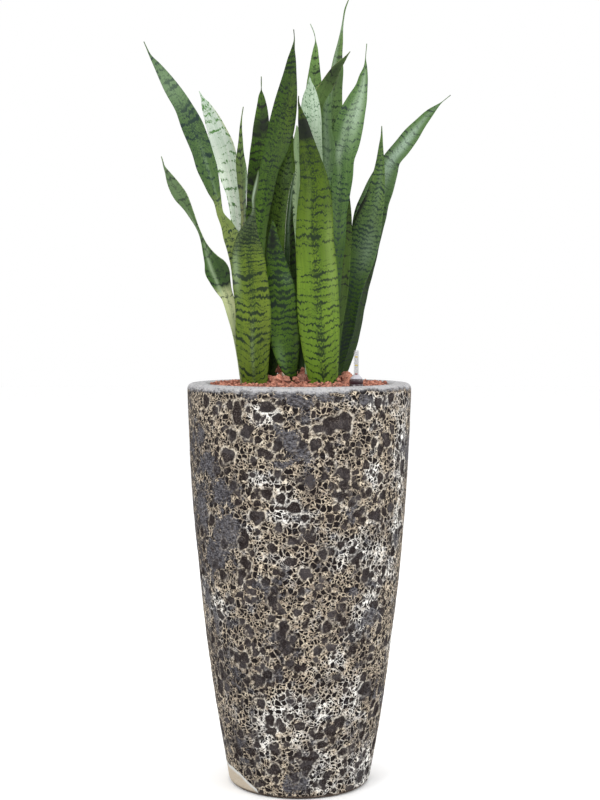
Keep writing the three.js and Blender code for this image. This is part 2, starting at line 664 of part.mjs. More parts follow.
// A round plate whose top is a mesh of small peaks, one for each granule.
function granulePlate() {
  const random = seededRandom(COVER_SEED);
  const bottom = GRAIN_TOP + SEAT_GAP;
  const points = [];
  const rowPitch = GRANULE_PITCH * Math.sin(Math.PI / 3);
  const rows = Math.ceil(COVER_RADIUS / rowPitch);
  const columns = rows + 2;
  const across = 2 * columns + 1;
  for (let row = -rows - 1; row <= rows + 1; row++) {
    for (let column = -columns; column <= columns; column++) {
      const shift = row % 2 === 0 ? 0 : 0.5;
      const scatter = GRANULE_SCATTER * GRANULE_PITCH;
      const x = (column + shift) * GRANULE_PITCH + scatter * (random() - 0.5);
      const y = row * rowPitch + scatter * (random() - 0.5);
      points.push(new THREE.Vector3(x, y, coverTop(x, y) + GRANULE_RISE * random()));
    }
  }
  const top = points.length;
  for (let i = 0; i < top; i++) {
    points.push(new THREE.Vector3(points[i].x, points[i].y, ROOT_BALL_BOTTOM));
  }
  const faces = [];
  const lines = 2 * (rows + 1) + 1;
  const quad = (a, b, c, d) => faces.push(a, b, c, a, c, d);
  for (let line = 0; line + 1 < lines; line++) {
    const even = (line - rows - 1) % 2 === 0;
    for (let column = 0; column + 1 < across; column++) {
      const a = line * across + column;
      const [b, c, d] = [a + 1, a + across + 1, a + across];
      const split = even ? [a, b, d, b, c, d] : [a, b, c, a, c, d];
      faces.push(...split);
      for (let i = 0; i < 6; i += 3) {
        faces.push(split[i] + top, split[i + 2] + top, split[i + 1] + top);
      }
    }
  }
  for (let column = 0; column + 1 < across; column++) {
    const far = (lines - 1) * across + column;
    quad(column + top, column + 1 + top, column + 1, column);
    quad(far + 1 + top, far + top, far, far + 1);
  }
  for (let line = 0; line + 1 < lines; line++) {
    const left = line * across;
    const right = left + across - 1;
    quad(left + across + top, left + top, left, left + across);
    quad(right + top, right + across + top, right + across, right);
  }
  const sheet = new THREE.BufferGeometry().setFromPoints(points);
  sheet.setIndex(faces);
  const room = cylinder(0, 0, COVER_RADIUS, bottom, HOLE_TOP, ROUND_SIDES);
  return toSolid(sheet).intersect(room);
}

// A lump of lava: a twenty-sided ball with its corners pulled in and out.
function chunkSolid(x, y, radius, raised, random) {
  const bare = new THREE.IcosahedronGeometry(radius, 0);
  bare.deleteAttribute("normal");
  bare.deleteAttribute("uv");
  const merged = mergeVertices(bare, 1e-3);
  const position = merged.attributes.position;
  const corner = new THREE.Vector3();
  for (let i = 0; i < position.count; i++) {
    corner.fromBufferAttribute(position, i).multiplyScalar(CHUNK_SHRINK + CHUNK_SPREAD * random());
    position.setXYZ(i, corner.x, corner.y, corner.z);
  }
  merged.scale(1, 1, CHUNK_SQUASH);
  merged.rotateZ(2 * Math.PI * random());
  const height = coverTop(x, y) + GRANULE_RISE + CHUNK_LIFT * radius + raised;
  merged.translate(x, y, height);
  return toSolid(merged);
}

function makeLavaCover(holes) {
  const random = seededRandom(CHUNK_SEED);
  let cover = granulePlate();
  for (const [x, y, radius, raised = 0] of CHUNKS) {
    cover = cover.add(chunkSolid(x, y, radius, raised, random));
  }
  for (const hole of holes) cover = cover.subtract(hole);
  cover = largestPart(cover.subtract(gaugeHole()));
  return named("lava_cover", toGeometry(cover), 0xa2604a, 0.95);
}

// The gauge's cup stands in the grain, and its sight tube stands on the cup. The float and
// the pointer on its rod slide up and down in them with the water.
function gaugePiece(name, points, colour, roughness) {
  const mesh = named(name, turned(points, GAUGE_SIDES), colour, roughness);
  mesh.position.set(GAUGE_X, GAUGE_Y, 0);
  return mesh;
}

function makeGauge() {
  const cupFloor = GAUGE_BOTTOM + CUP_FLOOR;
  const cup = [
    [0, GAUGE_BOTTOM],
    [CUP_RADIUS, GAUGE_BOTTOM],
    ...roundedCorner(CUP_RADIUS - CUP_ROUND, CUP_TOP - CUP_ROUND, CUP_ROUND, 0, 90, 2),
    [CUP_BORE, CUP_TOP],
    [CUP_BORE, cupFloor],
    [0, cupFloor],
  ];
  const tubeBottom = CUP_TOP + SEAT_GAP;
  const tube = [
    [TUBE_BORE, tubeBottom],
    [TUBE_FLARE_RADIUS, tubeBottom],
    [TUBE_FLARE_RADIUS, tubeBottom + TUBE_FLARE_EDGE],
    [TUBE_NECK, tubeBottom + TUBE_FLARE_HEIGHT],
    [TUBE_RADIUS, tubeBottom + TUBE_FLARE_HEIGHT + 1],
    ...roundedCorner(TUBE_RADIUS - TUBE_ROUND, TUBE_TOP - TUBE_ROUND, TUBE_ROUND, 0, 90, 2),
    [0, TUBE_TOP],
    [0, TUBE_TOP - TUBE_CAP],
    [TUBE_BORE, TUBE_TOP - TUBE_CAP],
    [TUBE_BORE, tubeBottom],
  ];
  const floatBottom = cupFloor + SEAT_GAP;
  const float = [
    [0, floatBottom],
    [FLOAT_RADIUS, floatBottom],
    [FLOAT_RADIUS, floatBottom + FLOAT_LENGTH],
    [ROD_RADIUS, floatBottom + FLOAT_LENGTH + FLOAT_SHOULDER],
    [ROD_RADIUS, POINTER_BOTTOM - SEAT_GAP],
    [0, POINTER_BOTTOM - SEAT_GAP],
  ];
  const pointer = [
    [0, POINTER_BOTTOM],
    [POINTER_RADIUS, POINTER_BOTTOM],
    [POINTER_RADIUS, POINTER_BOTTOM + POINTER_LENGTH - POINTER_EDGE],
    [POINTER_RADIUS - POINTER_EDGE, POINTER_BOTTOM + POINTER_LENGTH],
    [0, POINTER_BOTTOM + POINTER_LENGTH],
  ];
  return [
    gaugePiece("gauge_cup", cup, 0x3c2d32, 0.5),
    gaugePiece("gauge_sight_tube", tube, 0xcdcbcd, 0.15),
    gaugePiece("gauge_float", float, 0xe8e4dc, 0.5),
    gaugePiece("gauge_pointer", pointer, 0xc8261e, 0.4),
  ];
}

const group = new THREE.Group();
const holes = leafHoles();
group.add(makePot(), makeGrain(), makeRootBall(holes), makeLavaCover(holes));
for (const [name, leaf] of Object.entries(LEAVES)) {
  group.add(named(name, bladeGeometry(leaf), leaf.colour, 0.45));
}
group.add(...makeGauge());

export default group;
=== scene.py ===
"""A ceylon bowstring hemp growing in a tall planter with a cratered lava glaze.

Sizes and places are named in millimetres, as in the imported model. The scene is in metres, +Z
up, with the planter's foot at the origin and its front towards -Y. Nearly every piece is a
stack of closed rings of points between two poles, worked out with numpy from a formula that its
docstring gives in words. Lengths in the materials are in metres.
"""

import math

import bpy
import numpy as np
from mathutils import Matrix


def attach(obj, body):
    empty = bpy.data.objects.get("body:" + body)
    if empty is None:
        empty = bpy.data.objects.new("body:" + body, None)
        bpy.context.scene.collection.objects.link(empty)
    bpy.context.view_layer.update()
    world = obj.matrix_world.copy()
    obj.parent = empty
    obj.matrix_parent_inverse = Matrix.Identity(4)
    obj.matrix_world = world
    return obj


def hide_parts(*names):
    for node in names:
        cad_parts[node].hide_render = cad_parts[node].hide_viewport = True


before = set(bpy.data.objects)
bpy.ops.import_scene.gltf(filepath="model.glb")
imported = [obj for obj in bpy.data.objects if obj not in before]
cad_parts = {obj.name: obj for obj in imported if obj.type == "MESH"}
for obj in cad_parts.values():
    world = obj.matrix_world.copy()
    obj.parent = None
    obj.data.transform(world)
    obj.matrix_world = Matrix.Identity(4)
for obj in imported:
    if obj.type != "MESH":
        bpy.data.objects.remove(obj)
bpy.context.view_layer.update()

MM = 0.001
TURN = 2 * math.pi
GOLDEN_ANGLE = math.pi * (3 - math.sqrt(5))
SEAT_GAP = 0.3

# Meshes


def mesh_object(name, points, faces, fields=None, smooth=True):
    """An object from an array of points and a list of faces. Each field is an array with one
    number or one triple for each point, which the material reads as an attribute."""
    mesh = bpy.data.meshes.new(name)
    mesh.from_pydata(points.tolist(), [], faces)
    for field, values in (fields or {}).items():
        kind = "FLOAT_VECTOR" if values.ndim == 2 else "FLOAT"
        layer = mesh.attributes.new(field, kind, "POINT")
        layer.data.foreach_set("vector" if values.ndim == 2 else "value",
                               np.ascontiguousarray(values, dtype=np.float32).ravel())
    mesh.polygons.foreach_set("use_smooth", np.full(len(mesh.polygons), smooth))
    mesh.update()
    piece = bpy.data.objects.new(name, mesh)
    bpy.context.scene.collection.objects.link(piece)
    return piece


def round_rings(radius, angle, height):
    """Points about the upright axis, from arrays of radius, angle and height that spread over
    one grid of rings and sides."""
    return np.stack(np.broadcast_arrays(radius * np.cos(angle), radius * np.sin(angle), height),
                    axis=-1)


def ring_quads(rings, sides, closed=False):
    """Faces between each ring and the next one, and from the last to the first where closed."""
    ring, side = np.meshgrid(np.arange(rings if closed else rings - 1), np.arange(sides),
                             indexing="ij")
    following, above = (side + 1) % sides, (ring + 1) % rings
    quads = np.stack([ring * sides + side, ring * sides + following,
                      above * sides + following, above * sides + side], axis=-1)
    return quads.reshape(-1, 4).tolist()


def ring_faces(rings, sides):
    """Faces of a stack of rings that run anticlockwise seen from its last ring, closed by a
    pole at each end. The poles are the two points after the rings."""
    around = np.arange(sides)
    ahead = (around + 1) % sides
    first, last = rings * sides, rings * sides + 1
    top = (rings - 1) * sides
    start = np.stack([ahead, around, np.full(sides, first)], axis=-1)
    end = np.stack([top + around, top + ahead, np.full(sides, last)], axis=-1)
    return ring_quads(rings, sides) + start.tolist() + end.tolist()


def with_poles(rings):
    """Points or fields of rings as a flat array, then the mean of each end ring as its pole."""
    flat = rings.reshape(-1, *rings.shape[2:])
    return np.concatenate([flat, rings[:1].mean(axis=1), rings[-1:].mean(axis=1)])


def ring_piece(name, rings, fields=None):
    """A closed piece from an array of rings of points, with a pole in the middle of each end."""
    ready = {field: with_poles(values) for field, values in (fields or {}).items()}
    return mesh_object(name, with_poles(rings), ring_faces(*rings.shape[:2]), ready)


def ring_shape(name, rings):
    """A closed piece from rings of points of which the last meets the first again."""
    return mesh_object(name, rings.reshape(-1, 3), ring_quads(*rings.shape[:2], closed=True))


def quarter(radius, height, size, start, end, steps=5):
    """Points of a round corner about a centre, between two angles in degrees."""
    angle = np.radians(np.linspace(start, end, steps + 1))
    return np.stack([radius + size * np.cos(angle), height + size * np.sin(angle)], 1).tolist()


def unit(vectors):
    return vectors / np.linalg.norm(vectors, axis=-1, keepdims=True)


def belongs(piece, finish, nodes=(), body="planter"):
    """The piece rides on a body, takes the finish as its material and stands for nodes."""
    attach(piece, body)
    if nodes:
        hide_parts(*nodes)
    piece.data.materials.clear()
    piece.data.materials.append(finish)


# Finishes


class Finish:
    """A material, with short calls for the nodes that its colours and reliefs are made of."""

    def __init__(self, name, **settings):
        self.material = bpy.data.materials.new(name)
        self.material.use_nodes = True
        self.tree = self.material.node_tree
        self.shader = self.tree.nodes["Principled BSDF"]
        for socket, value in settings.items():
            self.put(self.shader.inputs[socket.replace("_", " ")], value)

    def put(self, socket, value):
        """Links a node's output to a socket, or sets the socket to a plain value."""
        if isinstance(value, bpy.types.NodeSocket):
            self.tree.links.new(value, socket)
        elif socket.type == "RGBA" and len(value) == 3:
            socket.default_value = (*value, 1)
        else:
            socket.default_value = value

    def node(self, kind, *inputs, **settings):
        """A node with its settings and its first inputs."""
        made = self.tree.nodes.new("ShaderNode" + kind)
        for setting, value in settings.items():
            setattr(made, setting, value)
        for socket, value in zip(made.inputs, inputs):
            self.put(socket, value)
        return made

    def fed(self, made, **inputs):
        """The node, with its inputs given by their names."""
        for socket, value in inputs.items():
            self.put(made.inputs[socket], value)
        return made

    def math(self, operation, *inputs, clamp=False):
        return self.node("Math", *inputs, operation=operation, use_clamp=clamp).outputs[0]

    def chain(self, operation, values):
        """An operation on the first two values, then on its result and each further value."""
        total = values[0]
        for value in values[1:]:
            total = self.math(operation, total, value)
        return total

    def add(self, *values):
        return self.chain("ADD", values)

    def times(self, *values):
        return self.chain("MULTIPLY", values)

    def most(self, *values):
        return self.chain("MAXIMUM", values)

    def less(self, value, taken):
        return self.math("SUBTRACT", value, taken)

    def clipped(self, value, gain=1.0):
        """The value times a gain, held between 0 and 1."""
        return self.math("MULTIPLY", value, gain, clamp=True)

    def centred(self, value, gain):
        """How far a noise lies over its middle, times a gain."""
        return self.times(self.less(value, 0.5), gain)

    def without(self, value, taken):
        """What is left of a value where another one takes its share of it."""
        return self.times(value, self.math("SUBTRACT", 1.0, taken, clamp=True))

    def step(self, value, low, high, to_low=0.0, to_high=1.0):
        """A smooth step of a value, from one output to another between two of its values."""
        made = self.node("MapRange", value, low, high, to_low, to_high,
                         interpolation_type="SMOOTHSTEP")
        return made.outputs[0]

    def mix(self, share, first, second, blend="MIX"):
        made = self.node("Mix", data_type="RGBA", blend_type=blend)
        self.put(made.inputs[0], share)
        self.put(made.inputs[6], first)
        self.put(made.inputs[7], second)
        return made.outputs[2]

    def field(self, name):
        """Outputs of a mesh attribute."""
        return self.node("Attribute", attribute_name=name, attribute_type="GEOMETRY").outputs

    def number(self, name):
        return self.field(name)["Fac"]

    def parts(self, vector):
        return self.node("SeparateXYZ", vector).outputs

    def place(self, scale=None):
        """Object coordinates in metres, stretched where a scale for each axis is given."""
        made = self.node("TexCoord").outputs["Object"]
        return self.fed(self.node("Mapping", made), Scale=scale).outputs[0] if scale else made

    def noise(self, vector, scale, detail=2.0, rough=0.5, output="Fac"):
        """Soft noise with so many swells to a metre, and layers of finer detail."""
        return self.fed(self.node("TexNoise"), Vector=vector, Scale=scale, Detail=detail,
                        Roughness=rough).outputs[output]

    def cells(self, vector, scale, feature="F1", output="Distance"):
        made = self.node("TexVoronoi", feature=feature)
        return self.fed(made, Vector=vector, Scale=scale).outputs[output]

    def strayed(self, vector, scale, reach):
        """The vector, shifted each way by a noise of that scale, up to half its reach."""
        noise = self.noise(vector, scale, output="Color")
        centred = self.node("VectorMath", noise, (0.5, 0.5, 0.5), operation="SUBTRACT").outputs[0]
        shift = self.node("VectorMath", centred, (reach, reach, reach),
                          operation="MULTIPLY").outputs[0]
        return self.node("VectorMath", vector, shift, operation="ADD").outputs[0]

    def done(self, colour, rough, *layers):
        """Colour, roughness, and bump from pairs of a height and its depth in metres, one on
        top of the other. Gives the finished material."""
        self.put(self.shader.inputs["Base Color"], colour)
        normal = {}
        for height, depth in layers:
            bump = self.fed(self.node("Bump"), Height=height, Distance=depth, **normal)
            normal = {"Normal": bump.outputs[0]}
        self.fed(self.shader, Roughness=rough, **normal)
        return self.material


# Camera and light: metres, degrees, and millimetres of lens

CAMERA_DISTANCE = 2.400
CAMERA_HEIGHT = 0.770
CAMERA_SIDE = 0.0012
CAMERA_DIP = 2.963
CAMERA_SHIFT = -0.0081
LENS = 65.2
SENSOR_HEIGHT = 36

camera_data = bpy.data.cameras.new("camera")
camera_data.lens = LENS
camera_data.sensor_fit = "VERTICAL"
camera_data.sensor_height = SENSOR_HEIGHT
camera_data.shift_y = CAMERA_SHIFT
camera = bpy.data.objects.new("camera", camera_data)
camera.location = (CAMERA_SIDE, -CAMERA_DISTANCE, CAMERA_HEIGHT)
camera.rotation_euler = (math.radians(90 - CAMERA_DIP), 0, 0)
bpy.context.scene.collection.objects.link(camera)
bpy.context.scene.camera = camera
bpy.context.scene.view_settings.view_transform = "Standard"


def softbox(name, place, target, size, power):
    """A square area light that faces a point."""
    data = bpy.data.lights.new(name, "AREA")
    data.size = size
    data.energy = power
    lamp = bpy.data.objects.new(name, data)
    lamp.location = place
    away = np.array(place) - np.array(target)
    lamp.rotation_euler = (math.atan2(math.hypot(away[0], away[1]), away[2]), 0,
                           math.atan2(away[1], away[0]) + math.pi / 2)
    bpy.context.scene.collection.objects.link(lamp)


softbox("key_light", (-1.9, -2.6, 2.9), (0, 0, 0.7), size=1.6, power=60)
softbox("fill_light", (2.6, -2.0, 1.6), (0, 0, 0.6), size=1.8, power=40)
softbox("top_light", (0.2, 0.6, 3.4), (0, 0, 0.9), size=1.6, power=30)

world = bpy.data.worlds.new("studio")
world.use_nodes = True
world.node_tree.nodes["Background"].inputs["Color"].default_value = (1, 1, 1, 1)
world.node_tree.nodes["Background"].inputs["Strength"].default_value = 1.0
bpy.context.scene.world = world

FLOOR_REACH = 14.0
FLOOR_TONE = (0.998, 0.998, 0.998)

corners = FLOOR_REACH * np.array([[-1, -1, 0], [1, -1, 0], [1, 1, 0], [-1, 1, 0]])
floor = mesh_object("floor", corners, [(0, 1, 2, 3)])
floor.data.materials.append(Finish("pale_floor", Base_Color=FLOOR_TONE, Roughness=0.9).material)

# Planter

POT_HEIGHT = 664
RIM_RADIUS = 185
RIM_LEVEL = 650
RIM_ROUND = 9
FOOT_RADIUS = 118.5
FOOT_ROUND = 10
FOOT_RING = 60
BELLY = 50.1
POT_WALL = 35
POT_FLOOR = 32
POT_SIDES = 448
WALL_RINGS = 184
INNER_RINGS = 12

# [degrees to the right of the front, height, half width, half height] of the wide craters
WIDE_CRATERS = [
    [18.3, 646, 6.5, 6.1], [21.5, 611, 16.5, 13.8], [15.4, 608, 14.3, 10.7],
    [9.5, 601, 12.4, 6.1], [-15.6, 634, 12.7, 9.2], [-10.2, 617, 8.6, 7.7],
    [-20.7, 618, 6.6, 6.2], [-26.8, 593, 10.4, 7.7], [-20.4, 583, 6.6, 6.2],
    [-18.4, 564, 9.7, 6.9], [-23.3, 550, 5, 7.7], [2.7, 599, 7.7, 6.1], [1.8, 576, 7.7, 6.1],
    [7.6, 576, 8.5, 10], [14.5, 572, 7.9, 7.7], [16.1, 561, 5.6, 6.1], [-28, 526, 7, 6.2],
    [-16.3, 499, 9.6, 8.5], [-9.1, 492, 7.8, 9.2], [-2.6, 478, 10.8, 9.2],
    [-21.9, 462, 13.3, 10.8], [21.3, 494, 8.3, 7.7], [27.5, 483, 7, 6.2], [31.4, 465, 9.1, 6.2],
    [2.9, 462, 6.9, 6.1], [-30.7, 419, 9.9, 10.1], [-3.2, 426, 9.2, 6.1], [-14.8, 416, 6.4, 6.2],
    [-28.9, 385, 8.9, 7.8], [3, 374, 9.3, 9.2], [-15, 331, 8, 9.3], [24.9, 317, 6, 7.8],
    [22.7, 301, 6.7, 7], [-8.2, 258, 9.4, 9.3], [-19.2, 209, 8.3, 7.8], [23.5, 204, 8.5, 6.2],
    [46.6, 176, 13.9, 11.1], [-5.5, 229, 7.8, 6.2], [8.7, 161, 6.3, 5], [-6, 141, 6.3, 6.2],
    [-24.5, 156, 5.2, 4.7], [28, 128, 10.7, 9.4], [21.7, 115, 11.8, 9.4], [12.7, 108, 9.6, 6.3],
    [15.8, 93, 9.8, 6.3], [8.3, 68, 7.9, 7.8], [32.6, 76, 9.4, 6.3], [-18.5, 116, 8.3, 6.3],
    [-19.5, 134, 8.3, 9.4], [-18, 50, 9.9, 9.4], [23.3, 43, 5.2, 4.7], [34.6, 41, 7.7, 6.3],
    [-37.9, 557, 13.8, 10.9], [-31.6, 628, 8.2, 13.9], [-30, 610, 5.4, 6.2],
    [51.6, 645, 8.9, 9.5], [41.8, 638, 8.4, 9.4], [49.3, 578, 9.7, 12.6], [44.2, 564, 6.6, 9.4],
    [44.3, 460, 8.8, 11], [48.1, 491, 8.3, 7.9], [-45.9, 626, 6.8, 7.8], [-53, 641, 6.6, 9.5],
    [-13.7, 602, 3.9, 4.6], [-0.6, 618, 4.6, 4.6], [8.9, 638, 4.6, 4.6], [-8, 525, 4.6, 4.6],
    [0.3, 522, 6.1, 4.6], [12.7, 527, 6.3, 6.1], [20.9, 534, 8.2, 6.2], [-46, 531, 9, 7.9],
    [-35.4, 509, 7.6, 7.8], [-46.3, 363, 9.1, 7.9], [-12.4, 376, 6.3, 5.4], [11.9, 404, 6.3, 5.4],
    [22.1, 418, 6.7, 6.2], [33.9, 398, 7.5, 6.2], [43.4, 364, 6.5, 6.3], [-41.4, 324, 8.4, 6.3],
    [-28.7, 277, 7.1, 6.2], [3.2, 292, 4.6, 6.2], [14.8, 267, 5.6, 4.7], [32.2, 284, 5.5, 6.3],
    [40.4, 259, 6.2, 6.3], [-56.1, 227, 8.6, 9.6], [-36.3, 220, 7.8, 6.3], [2.2, 222, 5.4, 6.2],
    [9.8, 235, 4.7, 4.7], [-30.8, 88, 7.4, 6.3], [-8.5, 94, 6.3, 4.7], [-31.4, 130, 5.5, 4.7],
    [0.4, 170, 4.7, 4.7], [35.9, 162, 5.8, 4.7], [49.5, 97, 7.4, 8], [49.8, 46, 7.4, 6.4],
    [-48.3, 69, 7.2, 8], [-41.2, 38, 6.3, 6.4], [-29.7, 24, 7.3, 6.3], [12, 25, 4.8, 4.7],
    [28, 12, 5.4, 4],
]
BACK_CRATERS = 110
CRATER_COUNT = 1500
CRATER_SEED = 11
CRATER_DEPTH = 2.6
DEPTH_PER_SIZE = 0.34
CRATER_SLOPE = 0.35
CRATER_REACH = 1.9
LIP_PLACE = 1.12
LIP_SPREAD = 0.16
LIP_HEIGHT = 0.55
LIP_DROP = 0.2
FULL_LIP_SIZE = 7
# [waves round it, turn with its height, depth] of what makes a crater's outline uneven
OUTLINE_WAVES = [[3, 1, 0.12], [5, 2, 0.08]]
BEYOND_CRATERS = 9.0
SLOW_SWELL = 0.35
QUICK_SWELL = 0.25
CALM_LOW = 12
CALM_HIGH = 648
CALM_FADE = 14

# The same for the patches where the glaze is smooth and slate grey, whitish, or dark
PATCHES = {
    "slate": [
        [-60.1, 589, 12.8, 15.9], [-54.2, 542, 19, 12.7], [-43.8, 497, 15.2, 15.7],
        [-41.7, 434, 25.2, 23.5], [-61.7, 463, 13.5, 22.4], [-52.2, 391, 18.1, 17.4],
        [-4.7, 29, 15.8, 20.4], [0.3, 565, 21.4, 13.8], [-5.9, 588, 20, 10.7],
        [14.8, 648, 22.2, 7.7], [0.3, 642, 21.4, 7.6], [27.9, 460, 7, 10.8], [33.5, 644, 16.7, 7.8],
        [-8, 545, 13.9, 7.7], [44.5, 295, 19.9, 14.2], [-65.9, 313, 11.8, 22.5], [30, 341, 9, 6.2],
        [-7.8, 653, 21.6, 6.1], [-24.3, 652, 16.9, 4.6], [-57.5, 284, 8.9, 19.2],
    ],
    "white": [
        [62, 592, 36, 60], [36, 644, 40, 16], [66, 480, 24, 90], [41, 522, 18, 24],
        [49.2, 386, 33.8, 63.2], [0.4, 459, 33.8, 15.4], [-8.2, 483, 18.6, 18.4],
        [-18.1, 626, 25.9, 15.4], [21.6, 233, 23.5, 18.7], [38.3, 293, 32, 40.8],
        [-58.9, 297, 31, 28.8], [30.4, 164, 47.3, 37.7], [0.4, 161, 40.5, 21.8],
        [-19.5, 134, 39.9, 40.7], [22.8, 57, 58.1, 41], [-32.5, 88, 26.2, 22.1],
        [-18.2, 521, 42.1, 12.3], [27.3, 417, 31.4, 31], [-4.8, 396, 46.3, 15.4],
        [55.4, 43, 34, 41.8],
    ],
    "dark": [
        [-6.9, 576, 24.7, 27.6], [-48, 515, 42.3, 78.7], [-72, 500, 40, 140], [-5, 348, 37.2, 21.6],
        [-52.1, 221, 36.3, 63.7], [-51.5, 96, 30.8, 38.4], [5.3, 522, 36.9, 15.3],
        [10.8, 404, 25.1, 21.6], [52.1, 171, 31.1, 25.5], [30.7, 263, 29.1, 21.9],
        [-11.1, 267, 31.6, 24.8], [-48.6, 370, 38.2, 47.4],
    ],
}
BACK_PATCHES = 26
PATCH_SEEDS = {"slate": 3, "white": 7, "dark": 9}
# [degrees to the right of the front, height] of the upper edge of the bare clay at the foot
BARE_EDGE = [
    [-128, -20], [-120, 10], [-108, 25], [-97, 31], [-88, 34], [-74, 35.5], [-61, 35],
    [-52, 30.5], [-40, 17], [-35, 10.5], [-30, -20],
]


def pot_radius(height):
    """Outer radius: a cone from foot to rim that bows outwards by a parabola."""
    t = (height - FOOT_ROUND) / (RIM_LEVEL - FOOT_ROUND)
    return FOOT_RADIUS + (RIM_RADIUS - FOOT_RADIUS + BELLY) * t - BELLY * t * t


def smooth_step(value):
    """A smooth step from 0 to 1 while a value goes from 0 to 1."""
    value = np.clip(value, 0, 1)
    return value * value * (3 - 2 * value)


def crater_places():
    """Rows of [angle, height, half width, half height]: the wide craters, others for the sides
    and back that the list leaves out, then many smaller ones, spread evenly by the golden angle
    and a random height, most of them small."""
    random = np.random.default_rng(CRATER_SEED)
    wide = np.array(WIDE_CRATERS, dtype=float)
    wide[:, 0] = np.radians(wide[:, 0] - 90)
    count = CRATER_COUNT
    angle = np.arange(count) * GOLDEN_ANGLE + random.uniform(-0.4, 0.4, count)
    height = random.uniform(12, 642, count)
    size = 2.2 + 6.5 * random.random(count) ** 3.2
    few = np.stack([angle, height, size, size * random.uniform(0.8, 1.35, count)], axis=1)
    turn = np.radians(random.uniform(-28, 208, BACK_CRATERS))
    big = random.uniform(6, 12, BACK_CRATERS)
    back = np.stack([turn, random.uniform(25, 625, BACK_CRATERS), big,
                     big * random.uniform(0.85, 1.4, BACK_CRATERS)], axis=1)
    return np.concatenate([wide, back, few])


def crater_fields(angle, heights):
    """Relief, distance from the nearest crater and lips of the wall, on a grid of heights and
    angles, in millimetres.

    A crater is a flat-bottomed dish with an uneven outline, its radius drawn in and out by two
    waves round it. At a share q of that radius it is as deep as a smooth step from its lip to
    its floor, and its lip stands up as a narrow bell. Where craters meet, the deeper one holds.
    The distance is q less one, in millimetres."""
    sides = len(angle)
    relief = np.zeros((len(heights), sides))
    distance = np.full(relief.shape, BEYOND_CRATERS)
    lip = np.zeros(relief.shape)
    for turn, level, wide, tall in crater_places():
        rows = np.arange(np.searchsorted(heights, level - CRATER_REACH * tall),
                         np.searchsorted(heights, level + CRATER_REACH * tall))
        radius = pot_radius(level)
        span = math.ceil(CRATER_REACH * wide / radius / TURN * sides) + 1
        middle = round((turn % TURN) / TURN * sides)
        columns = np.arange(middle - span, middle + span + 1) % sides
        part = np.ix_(rows, columns)
        around = (angle[columns] - turn + math.pi) % TURN - math.pi
        beside = around[None, :] * radius / wide
        above = (heights[rows, None] - level) / tall
        heading = np.arctan2(above, beside)
        uneven = 1 + sum(depth * np.sin(waves * heading + shift * level)
                         for waves, shift, depth in OUTLINE_WAVES)
        q = np.hypot(beside, above) * uneven
        size = min(wide, tall)
        depth = min(CRATER_DEPTH, DEPTH_PER_SIZE * size)
        bell = np.exp(-((q - LIP_PLACE) / LIP_SPREAD) ** 2)
        relief[part] = np.minimum(relief[part], -depth * smooth_step((1 - q) / CRATER_SLOPE))
        lip[part] = np.maximum(lip[part], bell * min(1, size / FULL_LIP_SIZE))
        distance[part] = np.minimum(distance[part], (q - 1) * size)
    return relief + LIP_HEIGHT * lip * (relief > -LIP_DROP), distance, lip


def soft_spots(spots, angle, height):
    """A sum of bells over angles and heights, one for each [degrees, height, half width, half
    height]."""
    total = np.zeros(np.broadcast(angle, height).shape)
    for turn, level, wide, tall in spots:
        around = (angle - math.radians(turn - 90) + math.pi) % TURN - math.pi
        total += np.exp(-(around * pot_radius(level) / wide) ** 2 - ((height - level) / tall) ** 2)
    return total


def back_spots(seed):
    """Patches for the sides and back, which the front's lists leave out."""
    random = np.random.default_rng(seed)
    ranges = ((75, 285), (20, 640), (14, 38), (12, 34))
    return np.stack([random.uniform(low, high, BACK_PATCHES) for low, high in ranges], 1).tolist()


